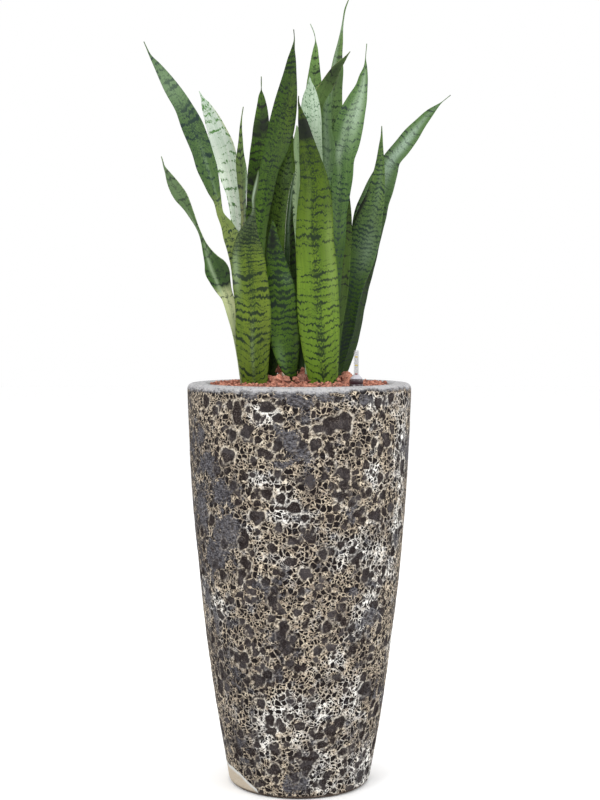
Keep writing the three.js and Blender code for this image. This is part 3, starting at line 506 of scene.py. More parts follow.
def make_pot():
    """The planter: one closed skin round its foot, cratered wall, rim, inside and floor. Each
    point of the wall lies at the outer radius plus the crater relief and two slow waves that
    wind round it, all faded out towards rim and foot. The field called bare is how far a point
    lies below the edge of the bare clay, in millimetres."""
    angle = np.arange(POT_SIDES) * TURN / POT_SIDES
    heights = np.linspace(FOOT_ROUND, RIM_LEVEL, WALL_RINGS)
    inner_heights = np.linspace(RIM_LEVEL, POT_FLOOR, INNER_RINGS)
    inner_radius = np.minimum(pot_radius(inner_heights), RIM_RADIUS) - POT_WALL
    crest = POT_HEIGHT - RIM_ROUND
    below = [[FOOT_RING, 0],
             *quarter(FOOT_RADIUS - FOOT_ROUND, FOOT_ROUND, FOOT_ROUND, -90, -8, 6)]
    outer = np.stack([pot_radius(heights), heights], axis=1)
    above = [*quarter(RIM_RADIUS - RIM_ROUND, crest, RIM_ROUND, 0, 90, 7),
             *quarter(RIM_RADIUS - POT_WALL + RIM_ROUND, crest, RIM_ROUND, 90, 180, 7),
             *np.stack([inner_radius, inner_heights], axis=1)]
    profile = np.concatenate([below, outer, above])
    level = profile[:, 1:2]
    wall = slice(len(below), len(below) + WALL_RINGS)
    relief = np.zeros((len(profile), POT_SIDES))
    distance = np.full(relief.shape, BEYOND_CRATERS)
    lip, rim = np.zeros(relief.shape), np.zeros(relief.shape)
    rim[wall.stop:] = 1
    relief[wall], distance[wall], lip[wall] = crater_fields(angle, heights)
    calm = np.zeros(len(profile))
    calm[wall] = np.clip(np.minimum(heights - CALM_LOW, CALM_HIGH - heights) / CALM_FADE, 0, 1)
    slow = (SLOW_SWELL * np.sin(5 * angle + level / 47)
            + QUICK_SWELL * np.sin(11 * angle - level / 29 + 1.3))
    relief = (relief + slow) * calm[:, None]
    degrees = np.degrees((angle + math.pi / 2 + math.pi) % TURN - math.pi)
    fields = {"crater": distance, "lip": lip, "rim": rim,
              "bare": np.interp(degrees, *np.array(BARE_EDGE, dtype=float).T) - level}
    for field, spots in PATCHES.items():
        fields[field] = soft_spots(spots + back_spots(PATCH_SEEDS[field]), angle, level)
    rings = round_rings((profile[:, :1] + relief) * MM, angle, level * MM)
    return ring_piece("planter_glazed", rings, fields)


class Glaze(Finish):
    """Lava glaze, a stiff froth: cells of three sizes, some of them open. An open cell is a
    dark pit inside a thin cream wall, and a closed one holds smaller cells. The wide pits have
    dark floors of their own, and the smaller pits are near black with painted shade. Fields and
    noise say where the froth is whitish, tan or dark, and where smooth slate grey glaze covers it."""

    def __init__(self):
        super().__init__("lava_glaze", Specular_IOR_Level=0.05)
        place = self.place()
        self.height = self.parts(place)[2]
        self.ragged = self.strayed(self.strayed(place, 70.0, 0.010), 330.0, 0.0028)
        self.clouds = self.noise(place, 24.0, 3, 0.55)
        self.froth = self.noise(place, 75.0, 3, 0.6)
        self.patchy = self.noise(place, 260.0)
        self.fine = self.noise(place, 420.0, 3, 0.6)
        self.grit = self.noise(place, 1100.0, 2, 0.6)
        level = self.strayed(self.place((1.0, 1.0, 1.9)), 60.0, 0.014)
        self.wrinkles = self.noise(level, 190.0, 4, 0.7)
        self.white = self.math("ADD", self.times(self.number("white"), 0.65),
                               self.centred(self.clouds, 2.2), clamp=True)
        self.dark = self.math("ADD", self.add(self.times(self.number("dark"), 0.8), 0.14),
                              self.centred(self.noise(place, 19.0), 2.8), clamp=True)
        distance = self.add(self.number("crater"), self.centred(self.patchy, 3.0))
        self.crater = self.step(distance, -0.8, 0.5, 1.0, 0.0)
        self.crest = self.clipped(self.times(self.number("lip"),
                                             self.step(self.froth, 0.36, 0.56)), 1.1)

    def foam(self, per_metre, share, wall):
        """Cells of one size: the pits of the open ones, their walls, and a tone for each."""
        edge = self.cells(self.ragged, per_metre, "DISTANCE_TO_EDGE")
        chance = self.node("SeparateColor",
                           self.cells(self.ragged, per_metre, output="Color")).outputs
        opened = self.step(self.less(share, chance[0]), -0.01, 0.01)
        pit = self.times(opened, self.step(edge, 0.5 * wall * per_metre, 1.5 * wall * per_metre))
        return pit, self.less(opened, pit), chance[1]

    def net(self, tone):
        """The walls of the froth: tan, cream or whitish, with dirt on them."""
        net = self.mix(self.step(self.patchy, 0.40, 0.60), (0.34, 0.275, 0.205),
                       (0.72, 0.62, 0.475))
        net = self.mix(self.step(self.add(self.white, self.centred(self.froth, 1.4)), 0.0, 0.8),
                       net, (0.95, 0.93, 0.88))
        net = self.mix(self.step(tone, 0.55, 0.9, 0.0, 0.55), net, (0.20, 0.155, 0.12))
        net = self.mix(self.times(self.crest, 0.5), net, (0.78, 0.74, 0.65))
        net = self.mix(self.step(self.fine, 0.48, 0.70, 0.0, 0.7), net, (0.13, 0.10, 0.08))
        return self.mix(self.times(self.dark, self.step(self.froth, 0.38, 0.56), 0.9), net,
                        (0.10, 0.085, 0.08))

    def floors(self, tone):
        """The floors of the wide pits: near black or dark grey, with paler grit on them."""
        floor = self.mix(tone, (0.016, 0.011, 0.010), (0.052, 0.046, 0.048))
        gritty = self.add(self.fine, self.centred(self.grit, 0.5))
        floor = self.mix(self.step(gritty, 0.48, 0.66, 0.0, 0.8), floor, (0.125, 0.105, 0.095))
        return self.mix(self.step(self.froth, 0.40, 0.55, 0.6, 0.0), floor, (0.012, 0.008, 0.008))

    def frothed(self):
        """The froth: its colour, how far each point is in a pit, and the wide pits' floors. The
        smaller a pit, the darker it is with painted shade."""
        wide_pit, wide_wall, wide_tone = self.foam(
            62.0, self.add(0.10, self.times(self.dark, 0.16)), 0.0008)
        pit, wall, _ = self.foam(112.0, self.add(0.42, self.times(self.dark, 0.30)), 0.0007)
        small_pit, small_wall, small_tone = self.foam(
            188.0, self.add(0.97, self.times(self.white, -0.16)), 0.0006)
        pit = self.without(pit, wide_wall)
        small_pit = self.without(self.without(small_pit, wall), wide_wall)
        deep = self.most(self.without(wide_pit, self.crest), self.crater)
        pits = self.most(deep, self.without(pit, self.crest), self.without(small_pit, self.crest))
        floors = self.floors(wide_tone)
        # painted shade: the medium and small pits are near black
        ground = self.mix(self.without(pit, small_wall), (0.008, 0.006, 0.006),
                          (0.015, 0.011, 0.011))
        return self.mix(pits, self.net(small_tone), self.mix(deep, ground, floors)), pits, floors

    def slate(self, floors):
        """Smooth slate grey glaze with wrinkles that run level: its share and its tone."""
        share = self.step(self.add(
            self.number("slate"), self.centred(self.froth, 1.6), self.centred(self.fine, 1.5),
            self.centred(self.clouds, 1.1), self.times(self.dark, 0.32)), 0.32, 0.50)
        tone = self.mix(self.step(self.wrinkles, 0.42, 0.60), (0.024, 0.022, 0.025),
                        (0.125, 0.122, 0.135))
        tone = self.mix(self.step(self.wrinkles, 0.60, 0.70, 0.0, 0.7), tone, (0.36, 0.36, 0.37))
        tone = self.mix(self.times(self.crater, 0.6), tone, floors)
        return self.without(share, self.times(self.crest, 0.7)), tone

    def rim(self, pits):
        """The rim, light grey above, which is partly a painted highlight on its rounded top, and
        slate grey where it breaks up into froth: its share and its tone."""
        white = self.number("white")
        rising = self.add(self.height, self.centred(self.froth, 0.018),
                          self.centred(self.fine, 0.008), self.times(white, -0.009))
        share = self.most(self.step(rising, 0.6525, 0.6560),
                          self.times(self.number("rim"), self.step(rising, 0.6500, 0.6545)))
        # the light grey towards the top is partly a painted highlight on the rounded rim
        tone = self.mix(self.step(rising, 0.653, 0.6605), (0.08, 0.08, 0.09), (0.43, 0.43, 0.445))
        tone = self.mix(self.step(self.wrinkles, 0.5, 0.64, 0.0, 0.6), tone, (0.55, 0.53, 0.50))
        tone = self.mix(self.step(self.wrinkles, 0.36, 0.46, 0.75, 0.0), tone, (0.10, 0.095, 0.10))
        return self.without(share, self.times(pits, self.step(white, 0.2, 0.5, 0.0, 0.8))), tone

    def foot(self):
        """Bare clay at the foot, with a whitish edge of glaze: its share and its tone."""
        below = self.add(self.number("bare"), self.centred(self.froth, 4.0))
        clay = self.mix(self.fine, (0.56, 0.50, 0.41), (0.42, 0.34, 0.25))
        clay = self.mix(self.step(below, 3.0, 8.0, 1.0, 0.0), clay, (0.60, 0.60, 0.58))
        return self.step(below, -0.6, 0.8), clay


def pot_finish():
    """The froth under slate grey glaze, the rim and the foot, and a painted contact shadow, a
    dark brown band where the pot stands. The pits are carved into the froth, and faintly into
    what covers it."""
    glaze = Glaze()
    colour, pits, floors = glaze.frothed()
    slate, slate_tone = glaze.slate(floors)
    rim, rim_tone = glaze.rim(pits)
    bare, clay = glaze.foot()
    colour = glaze.mix(glaze.times(slate, 0.9), colour, slate_tone)
    colour = glaze.mix(glaze.times(rim, 0.92), colour, rim_tone)
    colour = glaze.mix(bare, colour, clay)
    # painted contact shadow: dark brown at the bottom of the foot
    contact_shadow = glaze.step(glaze.height, 0.003, 0.008, 0.9, 0.0)
    colour = glaze.mix(contact_shadow, colour, (0.075, 0.055, 0.042))
    carve = glaze.without(pits, glaze.times(glaze.most(bare, rim, slate), 0.8))
    return glaze.done(colour, glaze.step(pits, 0.0, 1.0, 0.8, 0.6),
                      (glaze.less(1.0, carve), 0.0021), (glaze.wrinkles, 0.0016),
                      (glaze.grit, 0.0004))


belongs(make_pot(), pot_finish(), ["pot"])

# Leaves

LEAF_FOOT = 620
LEAST_HALF_WIDTH = 0.5
MARGIN_THICKNESS = 1.0
TIP_THICKNESS = 1.2
THICKNESS_PER_WIDTH = 0.16
BASE_THICKENING = 1.8
BASE_ZONE_TOP = 780
CHANNEL_ANGLE = 0.28
BASE_CHANNEL_ANGLE = 0.3
WAVE_LENGTH = 128
WAVE_PER_WIDTH = 0.07
RIPPLE_LENGTH = 37
RIPPLE_PER_WIDTH = 0.018
BLADE_COLUMNS = 15
BLADE_SPACING = 4.5

# Each leaf: 1 where its channelled side faces as the rows say or -1 where its back does, the
# start of its wave, and its rows of [x, y, height, half width, degrees turned from the front].
LEAVES = {
    "leaf_front_left": (-1, 0.4, [
        [-72.5, -50, 665, 21, -6], [-75.5, -55, 719, 27, -6], [-75, -60, 783, 29, -6],
        [-80, -65, 839, 28, -6], [-83, -69, 879, 24.5, -6], [-82, -71, 901, 18, -6],
        [-78, -72, 920, 10, 0], [-73, -74, 941, 2.9, 8], [-73, -76, 961, 3.2, 16],
        [-69, -78, 980, 3.9, 24], [-66, -79, 996, 2.2, 24], [-65, -80, 1005, 0.6, 24],
    ]),
    "leaf_front_right": (-1, 2.1, [
        [40.5, -52, 665, 24, 8], [35.5, -57, 722, 30.5, 6], [31, -63, 791, 34, 6],
        [29, -66, 844, 33, 4], [25, -70, 895, 30.5, 2], [25, -74, 942, 28.5, 0],
        [24, -77, 986, 23, -2], [17, -79, 1024, 17, -2], [11, -81, 1055, 11.5, 0],
        [5, -83, 1084, 7, 0], [1, -85, 1102, 2.7, 0], [-1, -85, 1111, 1.2, 0],
        [-1, -86, 1122, 0.6, 0],
    ]),
    "leaf_front_centre": (1, 4.2, [
        [-12.5, -26, 666, 5.5, 12], [-13, -28, 677, 8.8, 10], [-17, -31, 692, 14.5, 8],
        [-20, -32, 708, 19.2, 6], [-23, -33, 732, 23.5, 2], [-26.5, -38, 775, 24.5, -2],
        [-30, -42, 819, 23.5, -6], [-36, -44, 855, 18, -8], [-40, -47, 883, 12.5, -10],
        [-42, -48, 906, 7, -10], [-42, -49, 919, 4, -12], [-43, -50, 928, 0.6, -12],
    ]),
    "leaf_inner_dark": (1, 1.3, [
        [-45, -6, 667, 11.5, -38], [-43, -3, 734, 17, -36], [-40, 0, 801, 19, -36],
        [-38.5, 3, 863, 19, -30], [-36, 5, 923, 18.5, -22], [-31, 7, 964, 17.5, -16],
        [-25.5, 8, 992, 16.5, -10], [-19, 10, 1018, 14.5, -6], [-15.5, 11, 1043, 9, -2],
        [-12, 12, 1060, 3.6, 2], [-10.5, 12, 1071, 0.6, 4],
    ]),
    "leaf_centre_tall": (1, 0.9, [
        [-75, 4, 666, 18.5, -44], [-72, 1, 734, 18, -44], [-69, -2, 800, 16.5, -42],
        [-66, -5, 863, 15.5, -42], [-63, -8, 912, 15.5, -40], [-59, -10, 948, 16, -38],
        [-55, -11, 980, 17.5, -32], [-48, -13, 1013, 17.5, -24], [-34.5, -15, 1055, 22, -18],
        [-25.5, -17, 1098, 20.7, -10], [-19.5, -19, 1135, 16.7, -8], [-15, -20, 1167, 11, -6],
        [-12, -22, 1192, 6.5, -4], [-10, -22, 1208, 2.7, -2], [-8, -23, 1221, 0.8, -2],
        [-9, -24, 1238, 0.6, 0],
    ]),
    "leaf_left_dark": (1, 3.4, [
        [-71, 44, 665, 16, -38], [-73, 48, 768, 17, -38], [-73, 52, 869, 19.5, -38],
        [-72, 55, 945, 20.5, -38], [-70, 57, 1007, 19.5, -32], [-65, 59, 1061, 17, -28],
        [-63, 61, 1104, 13.5, -20], [-63, 62, 1131, 8, -14], [-64, 63, 1147, 3.9, -12],
        [-64, 63, 1154, 0.9, -10], [-64, 64, 1165, 0.8, -4], [-64, 64, 1177, 0.6, 0],
    ]),
    "leaf_left_olive": (1, 5.1, [
        [-88, 31, 665, 12, -56], [-90, 30, 768, 13.5, -58], [-90.5, 29, 868, 13.5, -60],
        [-91.5, 28, 943, 13, -66], [-92.6, 28, 974, 14, -62], [-93.2, 27, 1005, 15.5, -58],
        [-97, 27, 1037, 11, -52], [-97, 27, 1068, 5, -46], [-97, 26, 1086, 2.5, -38],
        [-96, 26, 1101, 1, -30], [-93, 26, 1121, 0.6, -20],
    ]),
    "dry_leaf_scale": (-1, 0, [
        [-17.5, -41, 664, 2.4, 20], [-20, -42, 669, 2.8, 20], [-23, -43, 674, 2.4, 20],
        [-26, -44, 679, 1.3, 20], [-28, -44, 682, 0.6, 20],
    ]),
    "leaf_left_pale": (-1, 2.7, [
        [-83, 60, 664, 13.5, 34], [-92, 68, 768, 15.5, 34], [-102, 78, 870, 16, 34],
        [-106, 86, 939, 12, 32], [-111, 90, 980, 13.5, 30], [-121, 95, 1021, 17.5, 24],
        [-129, 100, 1059, 21, 18], [-140, 103, 1090, 17, 14], [-152, 107, 1118, 12, 12],
        [-162, 109, 1139, 6.5, 10], [-167, 111, 1149, 2.2, 10], [-172, 112, 1160, 0.6, 8],
    ]),
    "leaf_far_left": (1, 0.2, [
        [-83, -21, 667, 13, 22], [-88, -24, 751, 13.5, 22], [-92.5, -27, 798, 13.5, 20],
        [-95, -28, 822, 14, 16], [-96.5, -29, 846, 14.2, 10], [-99, -30, 866, 14.6, 2],
        [-104, -32, 887, 14.6, -8], [-110, -33, 903, 14, -18], [-116.6, -34, 921, 12, -30],
        [-122.8, -35, 931, 9.5, -40], [-127.5, -36, 940, 8.2, -46],
        [-129.9, -36, 951, 8.2, -46], [-132, -37, 961, 9, -43], [-136.9, -38, 976, 12, -38],
        [-140, -38, 987, 14, -34], [-148, -40, 1013, 18, -26], [-158, -42, 1045, 18, -18],
        [-171, -44, 1078, 18.5, -16], [-186, -46, 1110, 14.5, -14], [-207, -49, 1143, 12, -12],
        [-227, -51, 1174, 6, -8], [-240, -52, 1193, 1.5, -8], [-245, -53, 1204, 0.8, -6],
        [-249, -54, 1213, 0.6, -6],
    ]),
    "leaf_left_twisted": (1, 1.7, [
        [-87, -31, 668, 10.5, 20], [-95.8, -34, 727, 10, 16], [-102, -36, 757, 10, 14],
        [-108, -38, 779, 10.3, 10], [-113, -40, 795, 9.8, 4], [-117, -42, 806, 10, 0],
        [-121.7, -44, 816, 12.5, -4], [-127, -46, 830, 16.5, -10], [-132, -48, 846, 20, -14],
        [-135.5, -49, 854, 19, -16], [-142, -51, 866, 13, -20], [-148, -53, 878, 8.8, -28],
        [-154.5, -56, 894, 5, -42], [-159, -58, 906, 3.7, -48], [-164.6, -61, 919, 3.9, -48],
        [-171.5, -64, 934, 6.2, -42], [-179.6, -68, 950, 8.6, -35],
        [-189.3, -71, 966, 11.6, -30], [-195.7, -73, 976, 11.2, -28],
        [-203.8, -76, 990, 8.3, -26], [-210.3, -79, 1003, 3.9, -26],
        [-215, -82, 1012, 1.4, -26], [-217, -83, 1020, 0.9, -24], [-219, -84, 1027, 0.6, -22],
    ]),
    "leaf_inner_curled": (1, 3.9, [
        [-19, -12, 667, 7.5, 14], [-21, -12, 751, 8.5, 24], [-21, -12, 817, 7.5, 36],
        [-21, -12, 869, 6, 44], [-20, -12, 899, 6, 42], [-19, -12, 928, 5, 42],
        [-16, -12, 956, 4.7, 40], [-13, -12, 980, 3.3, 32], [-10, -12, 996, 2, 26],
        [-7, -12, 1010, 0.6, 20],
    ]),
    "leaf_inner_pale": (-1, 0.6, [
        [8, -21, 667, 9.5, 14], [8, -21, 751, 10, 14], [6, -21, 833, 10.5, 12],
        [4, -22, 898, 10.5, 12], [1, -22, 937, 11, 6], [1, -22, 979, 11.5, 2],
        [4, -22, 1018, 10.5, -4], [0, -22, 1041, 9, -6], [-3, -22, 1063, 6, -6],
        [-3, -22, 1076, 3, -8], [-4, -22, 1084, 0.6, -8],
    ]),
    "leaf_back_hidden": (1, 2.3, [
        [-11, 67, 664, 16, -36], [-12, 72, 768, 15, -36], [-13, 76, 853, 13, -34],
        [-13, 78, 904, 11.5, -34], [-12, 81, 947, 8.5, -32], [-11, 82, 981, 4.9, -30],
        [-10, 83, 1003, 2, -30], [-9, 84, 1015, 0.6, -30],
    ]),
    "leaf_back_pale": (-1, 4.6, [
        [22, -34, 668, 12, 16], [22, -37, 751, 14.5, 14], [22, -40, 832, 16.5, 14],
        [22, -43, 913, 17, 12], [21, -45, 977, 17, 8], [21, -47, 1025, 17, 4],
        [19, -48, 1063, 17.5, 2], [19, -50, 1093, 16.5, 2], [18, -50, 1115, 14.5, 0],
        [18, -51, 1131, 10.5, 0], [18, -51, 1142, 6, 0], [17, -52, 1150, 2.5, 0],
        [17, -52, 1158, 0.6, 0],
    ]),
    "leaf_back_needle": (1, 0.8, [
        [12, 78, 664, 11.5, 36], [14, 83, 768, 13, 36], [19, 88, 871, 15.5, 34],
        [23, 94, 973, 17, 34], [25, 99, 1059, 16.5, 26], [25, 103, 1119, 15.5, 20],
        [25, 105, 1162, 14, 16], [26, 107, 1193, 10, 12], [27, 109, 1217, 6.5, 8],
        [28, 110, 1234, 3.5, 6], [28, 110, 1244, 0.9, 4], [25, 111, 1260, 0.7, 2],
        [19, 112, 1274, 0.6, 0],
    ]),
    "leaf_back_slant": (1, 3.1, [
        [13, 50, 665, 8, -16], [15, 49, 768, 13, -12], [15, 48, 885, 15.5, -6],
        [18, 46, 1002, 15.5, 6], [21, 46, 1069, 15, 14], [27, 45, 1110, 14, 16],
        [36, 45, 1140, 13, 18], [48, 45, 1163, 11, 18], [61, 44, 1185, 7.5, 20],
        [75, 44, 1202, 3, 14], [81, 44, 1210, 1.1, 12], [85, 44, 1215, 0.6, 10],
    ]),
    "leaf_back_tallest": (1, 5.6, [
        [53, 86, 663, 15.5, -40], [54, 92, 768, 21.5, -40], [55, 100, 888, 23.5, -40],
        [57, 109, 1009, 23.5, -40], [59, 114, 1078, 20.5, -34], [59, 118, 1137, 17.5, -30],
        [61, 120, 1168, 15, -24], [65, 122, 1195, 12, -18], [67, 124, 1221, 7.5, -12],
        [71, 126, 1247, 4.3, -8], [74, 128, 1272, 1.7, -6], [76, 129, 1286, 1.2, -4],
        [79, 131, 1303, 1.2, -2], [86, 132, 1322, 0.6, 0],
    ]),
    "leaf_right_grey": (-1, 1.1, [
        [32, -14, 667, 13, 36], [32, -14, 767, 14, 34], [33, -14, 866, 13, 34],
        [36, -14, 939, 10.5, 24], [40, -14, 980, 11, 20], [44, -14, 1012, 12, 8],
        [47, -14, 1045, 12, -4], [45, -14, 1077, 9, -6], [45, -14, 1102, 7.5, -6],
        [46, -14, 1119, 6, -8], [49, -14, 1131, 2.7, -8], [51, -14, 1137, 0.6, -8],
    ]),
    "leaf_right_glossy": (1, 2.9, [
        [49, 9, 666, 12, 40], [54, 7, 751, 12.5, 38], [57, 5, 817, 13.5, 36],
        [59, 3, 863, 13.5, 34], [63, 1, 903, 14.5, 26], [65, 0, 945, 14, 18],
        [67, -2, 971, 16, 14], [69, -3, 1004, 19, 4], [70, -4, 1033, 21, -6],
        [74, -5, 1054, 24, -8], [80, -7, 1082, 25, -12], [88, -8, 1107, 21.5, -14],
        [96, -9, 1130, 16, -12], [102, -10, 1149, 10, -8], [105, -11, 1165, 7, -6],
        [108, -12, 1181, 2.6, -4], [108, -13, 1192, 0.7, -4], [110, -14, 1217, 0.6, 0],
    ]),
    "leaf_right_inner": (1, 4.9, [
        [55, 25, 666, 11.5, 30], [58, 26, 726, 11, 26], [64, 26, 771, 11.5, 24],
        [70, 27, 818, 12, 20], [73, 28, 864, 12.5, 16], [76, 28, 909, 12, 12],
        [76, 29, 943, 11, 12], [76, 29, 968, 8.5, 10], [75, 30, 992, 5.5, 10],
        [74, 30, 1009, 2.5, 10], [74, 30, 1021, 0.6, 10],
    ]),
    "leaf_right_banded": (1, 1.5, [
        [63, 49, 665, 11.5, 22], [64, 49, 690, 11, 18], [70, 48, 717, 13, 12],
        [77, 46, 751, 15.5, 6], [84, 43, 793, 16.5, 0], [93, 40, 835, 19, -4],
        [103, 36, 871, 23.5, -8], [110, 33, 905, 25.5, -10], [117, 29, 938, 22.5, -12],
        [126, 25, 970, 16.5, -12], [131, 21, 1000, 11.5, -8], [134, 17, 1029, 7, -6],
        [135, 13, 1055, 3.5, -4], [136, 11, 1071, 1.6, -2], [136, 8, 1087, 0.6, 0],
    ]),
    "leaf_right_arched": (1, 3.6, [
        [65, 64, 664, 12.5, 34], [72, 65, 690, 14.5, 34], [80, 67, 717, 16, 32],
        [88, 69, 751, 17.5, 32], [94, 72, 793, 20.5, 30], [100, 76, 836, 22.5, 26],
        [107, 79, 874, 25, 22], [113, 82, 911, 27.5, 16], [120, 85, 945, 28.5, 12],
        [129, 87, 973, 25, 10], [138, 89, 995, 23.5, 8], [149, 92, 1021, 19.5, 6],
        [158, 93, 1041, 15.5, 8], [175, 95, 1062, 15, 10], [191, 97, 1083, 14, 12],
        [207, 99, 1103, 10, 10], [224, 101, 1122, 6.5, 10], [236, 102, 1133, 2.7, 8],
        [243, 103, 1139, 0.8, 8], [259, 104, 1152, 0.6, 8],
    ]),
}

# Markings of a leaf, painted by soft spots of (height, reach, strength) right across it, or of
# (height, reach, strength, place across, reach across). The field dark widens the bands or,
# below nothing, clears them away, dots sets dots between them, and warm is a tint. Pale is a
# painted sheen in fine streaks, and in places a paler tone of the leaf. Shade dims towards near
# black: it is painted shade in places, and the leaf's own near-black parts in others. A place
# across runs from -1 at the left margin to 1 at the right one, seen on the side that the rows
# turn to the front.
MARKS = {
    "leaf_front_left": dict(
        dots=[(905, 40, 0.9), (840, 26, 0.8, 0.1, 0.3), (730, 50, 0.5, 0.4, 0.4)],
        dark=[(985, 30, -1.5), (908, 30, 0.25), (838, 7, 0.5, 0.1, 0.8), (802, 6, 0.4, 0, 0.9),
              (815, 4.5, 0.5, 0.3, 0.9), (776, 7, 0.25, 0, 1.2), (742, 7, 0.25, 0, 1.2),
              (845, 30, 0.4, 0.05, 0.12)],
        pale=[(970, 28, 0.55, -0.3, 0.4), (850, 38, 0.3, -0.75, 0.22), (720, 45, 0.15, 0.0, 0.1)],
        shade=[(925, 22, 0.2), (893, 16, 0.3, -0.5, 0.6)],
        warm=[(765, 60, 0.25, 0.6, 0.35)],
    ),
    "leaf_front_right": dict(
        shade=[(1071, 12, 4.0), (1118, 16, 0.8), (1030, 25, 0.25)],
        dots=[(1015, 45, 0.75), (842, 9, 0.8, -0.1, 0.28)],
        dark=[(842, 9, 0.8, -0.1, 0.28), (868, 12, -0.35), (895, 16, 0.5, -0.05, 0.2),
              (742, 7, 0.6, 0.1, 0.25), (712, 10, 0.4, -0.1, 0.22), (688, 22, 0.1),
              (1040, 20, 0.12)],
        pale=[(848, 48, 0.28, 0.7, 0.25), (905, 30, 0.25, 0.75, 0.2), (950, 90, 0.15, -0.35, 0.1)],
    ),
    "leaf_front_centre": dict(
        dots=[(900, 30, 0.9), (700, 40, 0.6, 0.2, 0.6)],
        dark=[(888, 16, 0.35), (850, 12, -0.2), (838, 6, 0.45), (806, 6, 0.45), (800, 50, 0.1)],
        shade=[(900, 24, 1.0, -0.2, 0.8), (720, 60, 0.45, 0.9, 0.4)],
        pale=[(832, 10, 0.4, 0.6, 0.35), (710, 24, 0.35, -0.5, 0.3)],
    ),
    "leaf_inner_dark": dict(
        dots=[(960, 90, 0.5)],
        shade=[(970, 90, 0.6, -1.0, 0.35), (720, 70, 0.4)],
        dark=[(985, 50, 0.1)],
        pale=[(1015, 26, 0.12, 0.1, 0.5)],
    ),
    "leaf_centre_tall": dict(
        dots=[(1100, 110, 0.6)],
        dark=[(1185, 24, 0.3), (900, 30, -0.5, 0.8, 0.4)],
        shade=[(1185, 60, 0.25), (930, 90, 0.5, 0.9, 0.5)],
        warm=[(1110, 60, 0.12, 0.5, 0.5)],
    ),
    "leaf_left_dark": dict(
        dots=[(1050, 60, 0.4)],
        shade=[(1090, 16, 0.8), (1006, 6, 0.9), (1118, 30, 0.5, 0.4, 0.8)],
        dark=[(965, 25, 0.3)],
    ),
    "leaf_left_olive": dict(
        pale=[(985, 28, 0.75, 0.95, 0.2)],
        warm=[(940, 55, 0.6, -0.4, 0.6)],
        dark=[(1060, 35, 0.2)],
    ),
    "leaf_left_pale": dict(
        dark=[(1143, 8, 0.35), (1126, 3, 0.7), (1112, 3, 0.7), (1089, 3, 0.7),
              (955, 45, 1.2, -1, 0.07), (1030, 40, -0.12), (960, 40, 0.08)],
        warm=[(1085, 40, 0.6, 0.95, 0.1)],
    ),
    "leaf_far_left": dict(
        dark=[(1145, 6, 0.6, 0.2, 0.6), (1106, 7, 0.7, 0.3, 0.8), (1088, 7, 0.7, 0.6, 0.6),
              (1064, 7, 0.6, 0.1, 0.7), (936, 15, -0.6), (1000, 45, -0.15)],
        dots=[(1070, 60, 0.6)],
        pale=[(1150, 42, 0.55), (1020, 30, 0.4, 0.05, 0.14), (975, 22, 0.35, 0.2, 0.18)],
        warm=[(905, 60, 0.35, -0.2, 1.2)],
    ),
    "leaf_left_twisted": dict(
        pale=[(884, 12, 0.6, 0.1, 0.4), (866, 12, 0.7, -0.4, 0.2), (850, 12, 0.7, -0.42, 0.13),
              (834, 12, 0.7, -0.36, 0.13), (818, 10, 0.7, -0.5, 0.16), (925, 20, 0.5, -0.5, 0.5),
              (735, 45, 0.35, -0.3, 0.9), (985, 40, 0.32), (1020, 12, 0.3)],
        shade=[(845, 34, 0.5, 0.5, 0.6)],
        dark=[(735, 60, -0.8), (925, 30, -0.4)],
    ),
    "leaf_inner_curled": dict(pale=[(960, 60, 0.6, 0.2, 0.3)]),
    "leaf_inner_pale": dict(dark=[(980, 90, 0.9, -0.85, 0.2)]),
    "leaf_back_hidden": dict(dark=[(900, 200, 0.3)]),
    "leaf_back_pale": dict(pale=[(1095, 60, 0.25, 0.4, 0.5)], dark=[(1100, 30, 0.15, -0.4, 0.8)]),
    "leaf_back_needle": dict(
        dark=[(1214, 5, 0.5), (1196, 5, 0.5), (1130, 14, 0.3)],
        pale=[(1265, 18, 0.5)],
    ),
    "leaf_back_slant": dict(shade=[(1182, 28, 0.85)], dark=[(1180, 40, -0.4)]),
    "leaf_back_tallest": dict(
        pale=[(1180, 75, 0.45, -0.6, 0.35), (1276, 14, 0.3)],
        shade=[(1185, 22, 0.45, 0.2, 0.9)],
        dark=[(1090, 60, 0.2, 0.3, 0.8)],
    ),
    "leaf_right_grey": dict(
        dots=[(1010, 60, 0.5)],
        pale=[(1060, 70, 0.25, -0.2, 0.5)],
        dark=[(960, 60, 0.1)],
    ),
    "leaf_right_glossy": dict(
        pale=[(1105, 45, 0.6, 0.35, 0.4), (1040, 14, 0.4, -0.35, 0.3), (1075, 60, 0.35, -0.2, 0.2),
              (1155, 22, 0.3, 0.1, 0.5), (1135, 40, 0.15, 0.3, 0.4)],
        shade=[(735, 80, 0.5)],
        dark=[(1108, 12, 0.5, -0.7, 0.35), (1055, 8, 0.4, -0.4, 0.3), (990, 60, 0.12)],
    ),
    "leaf_right_inner": dict(dark=[(990, 50, 0.4)], shade=[(960, 60, 0.3)]),
    "leaf_right_banded": dict(
        dots=[(960, 70, 0.5)],
        shade=[(952, 30, 1.4, -1.0, 0.28), (740, 70, 0.35)],
        pale=[(888, 40, 0.5, 0.35, 0.6), (985, 50, 0.25, 0.3, 0.4)],
        dark=[(740, 70, 0.3), (905, 30, 0.15, -0.2, 0.8)],
    ),
    "leaf_right_arched": dict(
        shade=[(850, 110, 0.5)],
        pale=[(1060, 55, 0.8, 0.0, 0.45), (980, 50, 0.3, -0.2, 0.4)],
        dark=[(1040, 6, 0.5)],
    ),
}


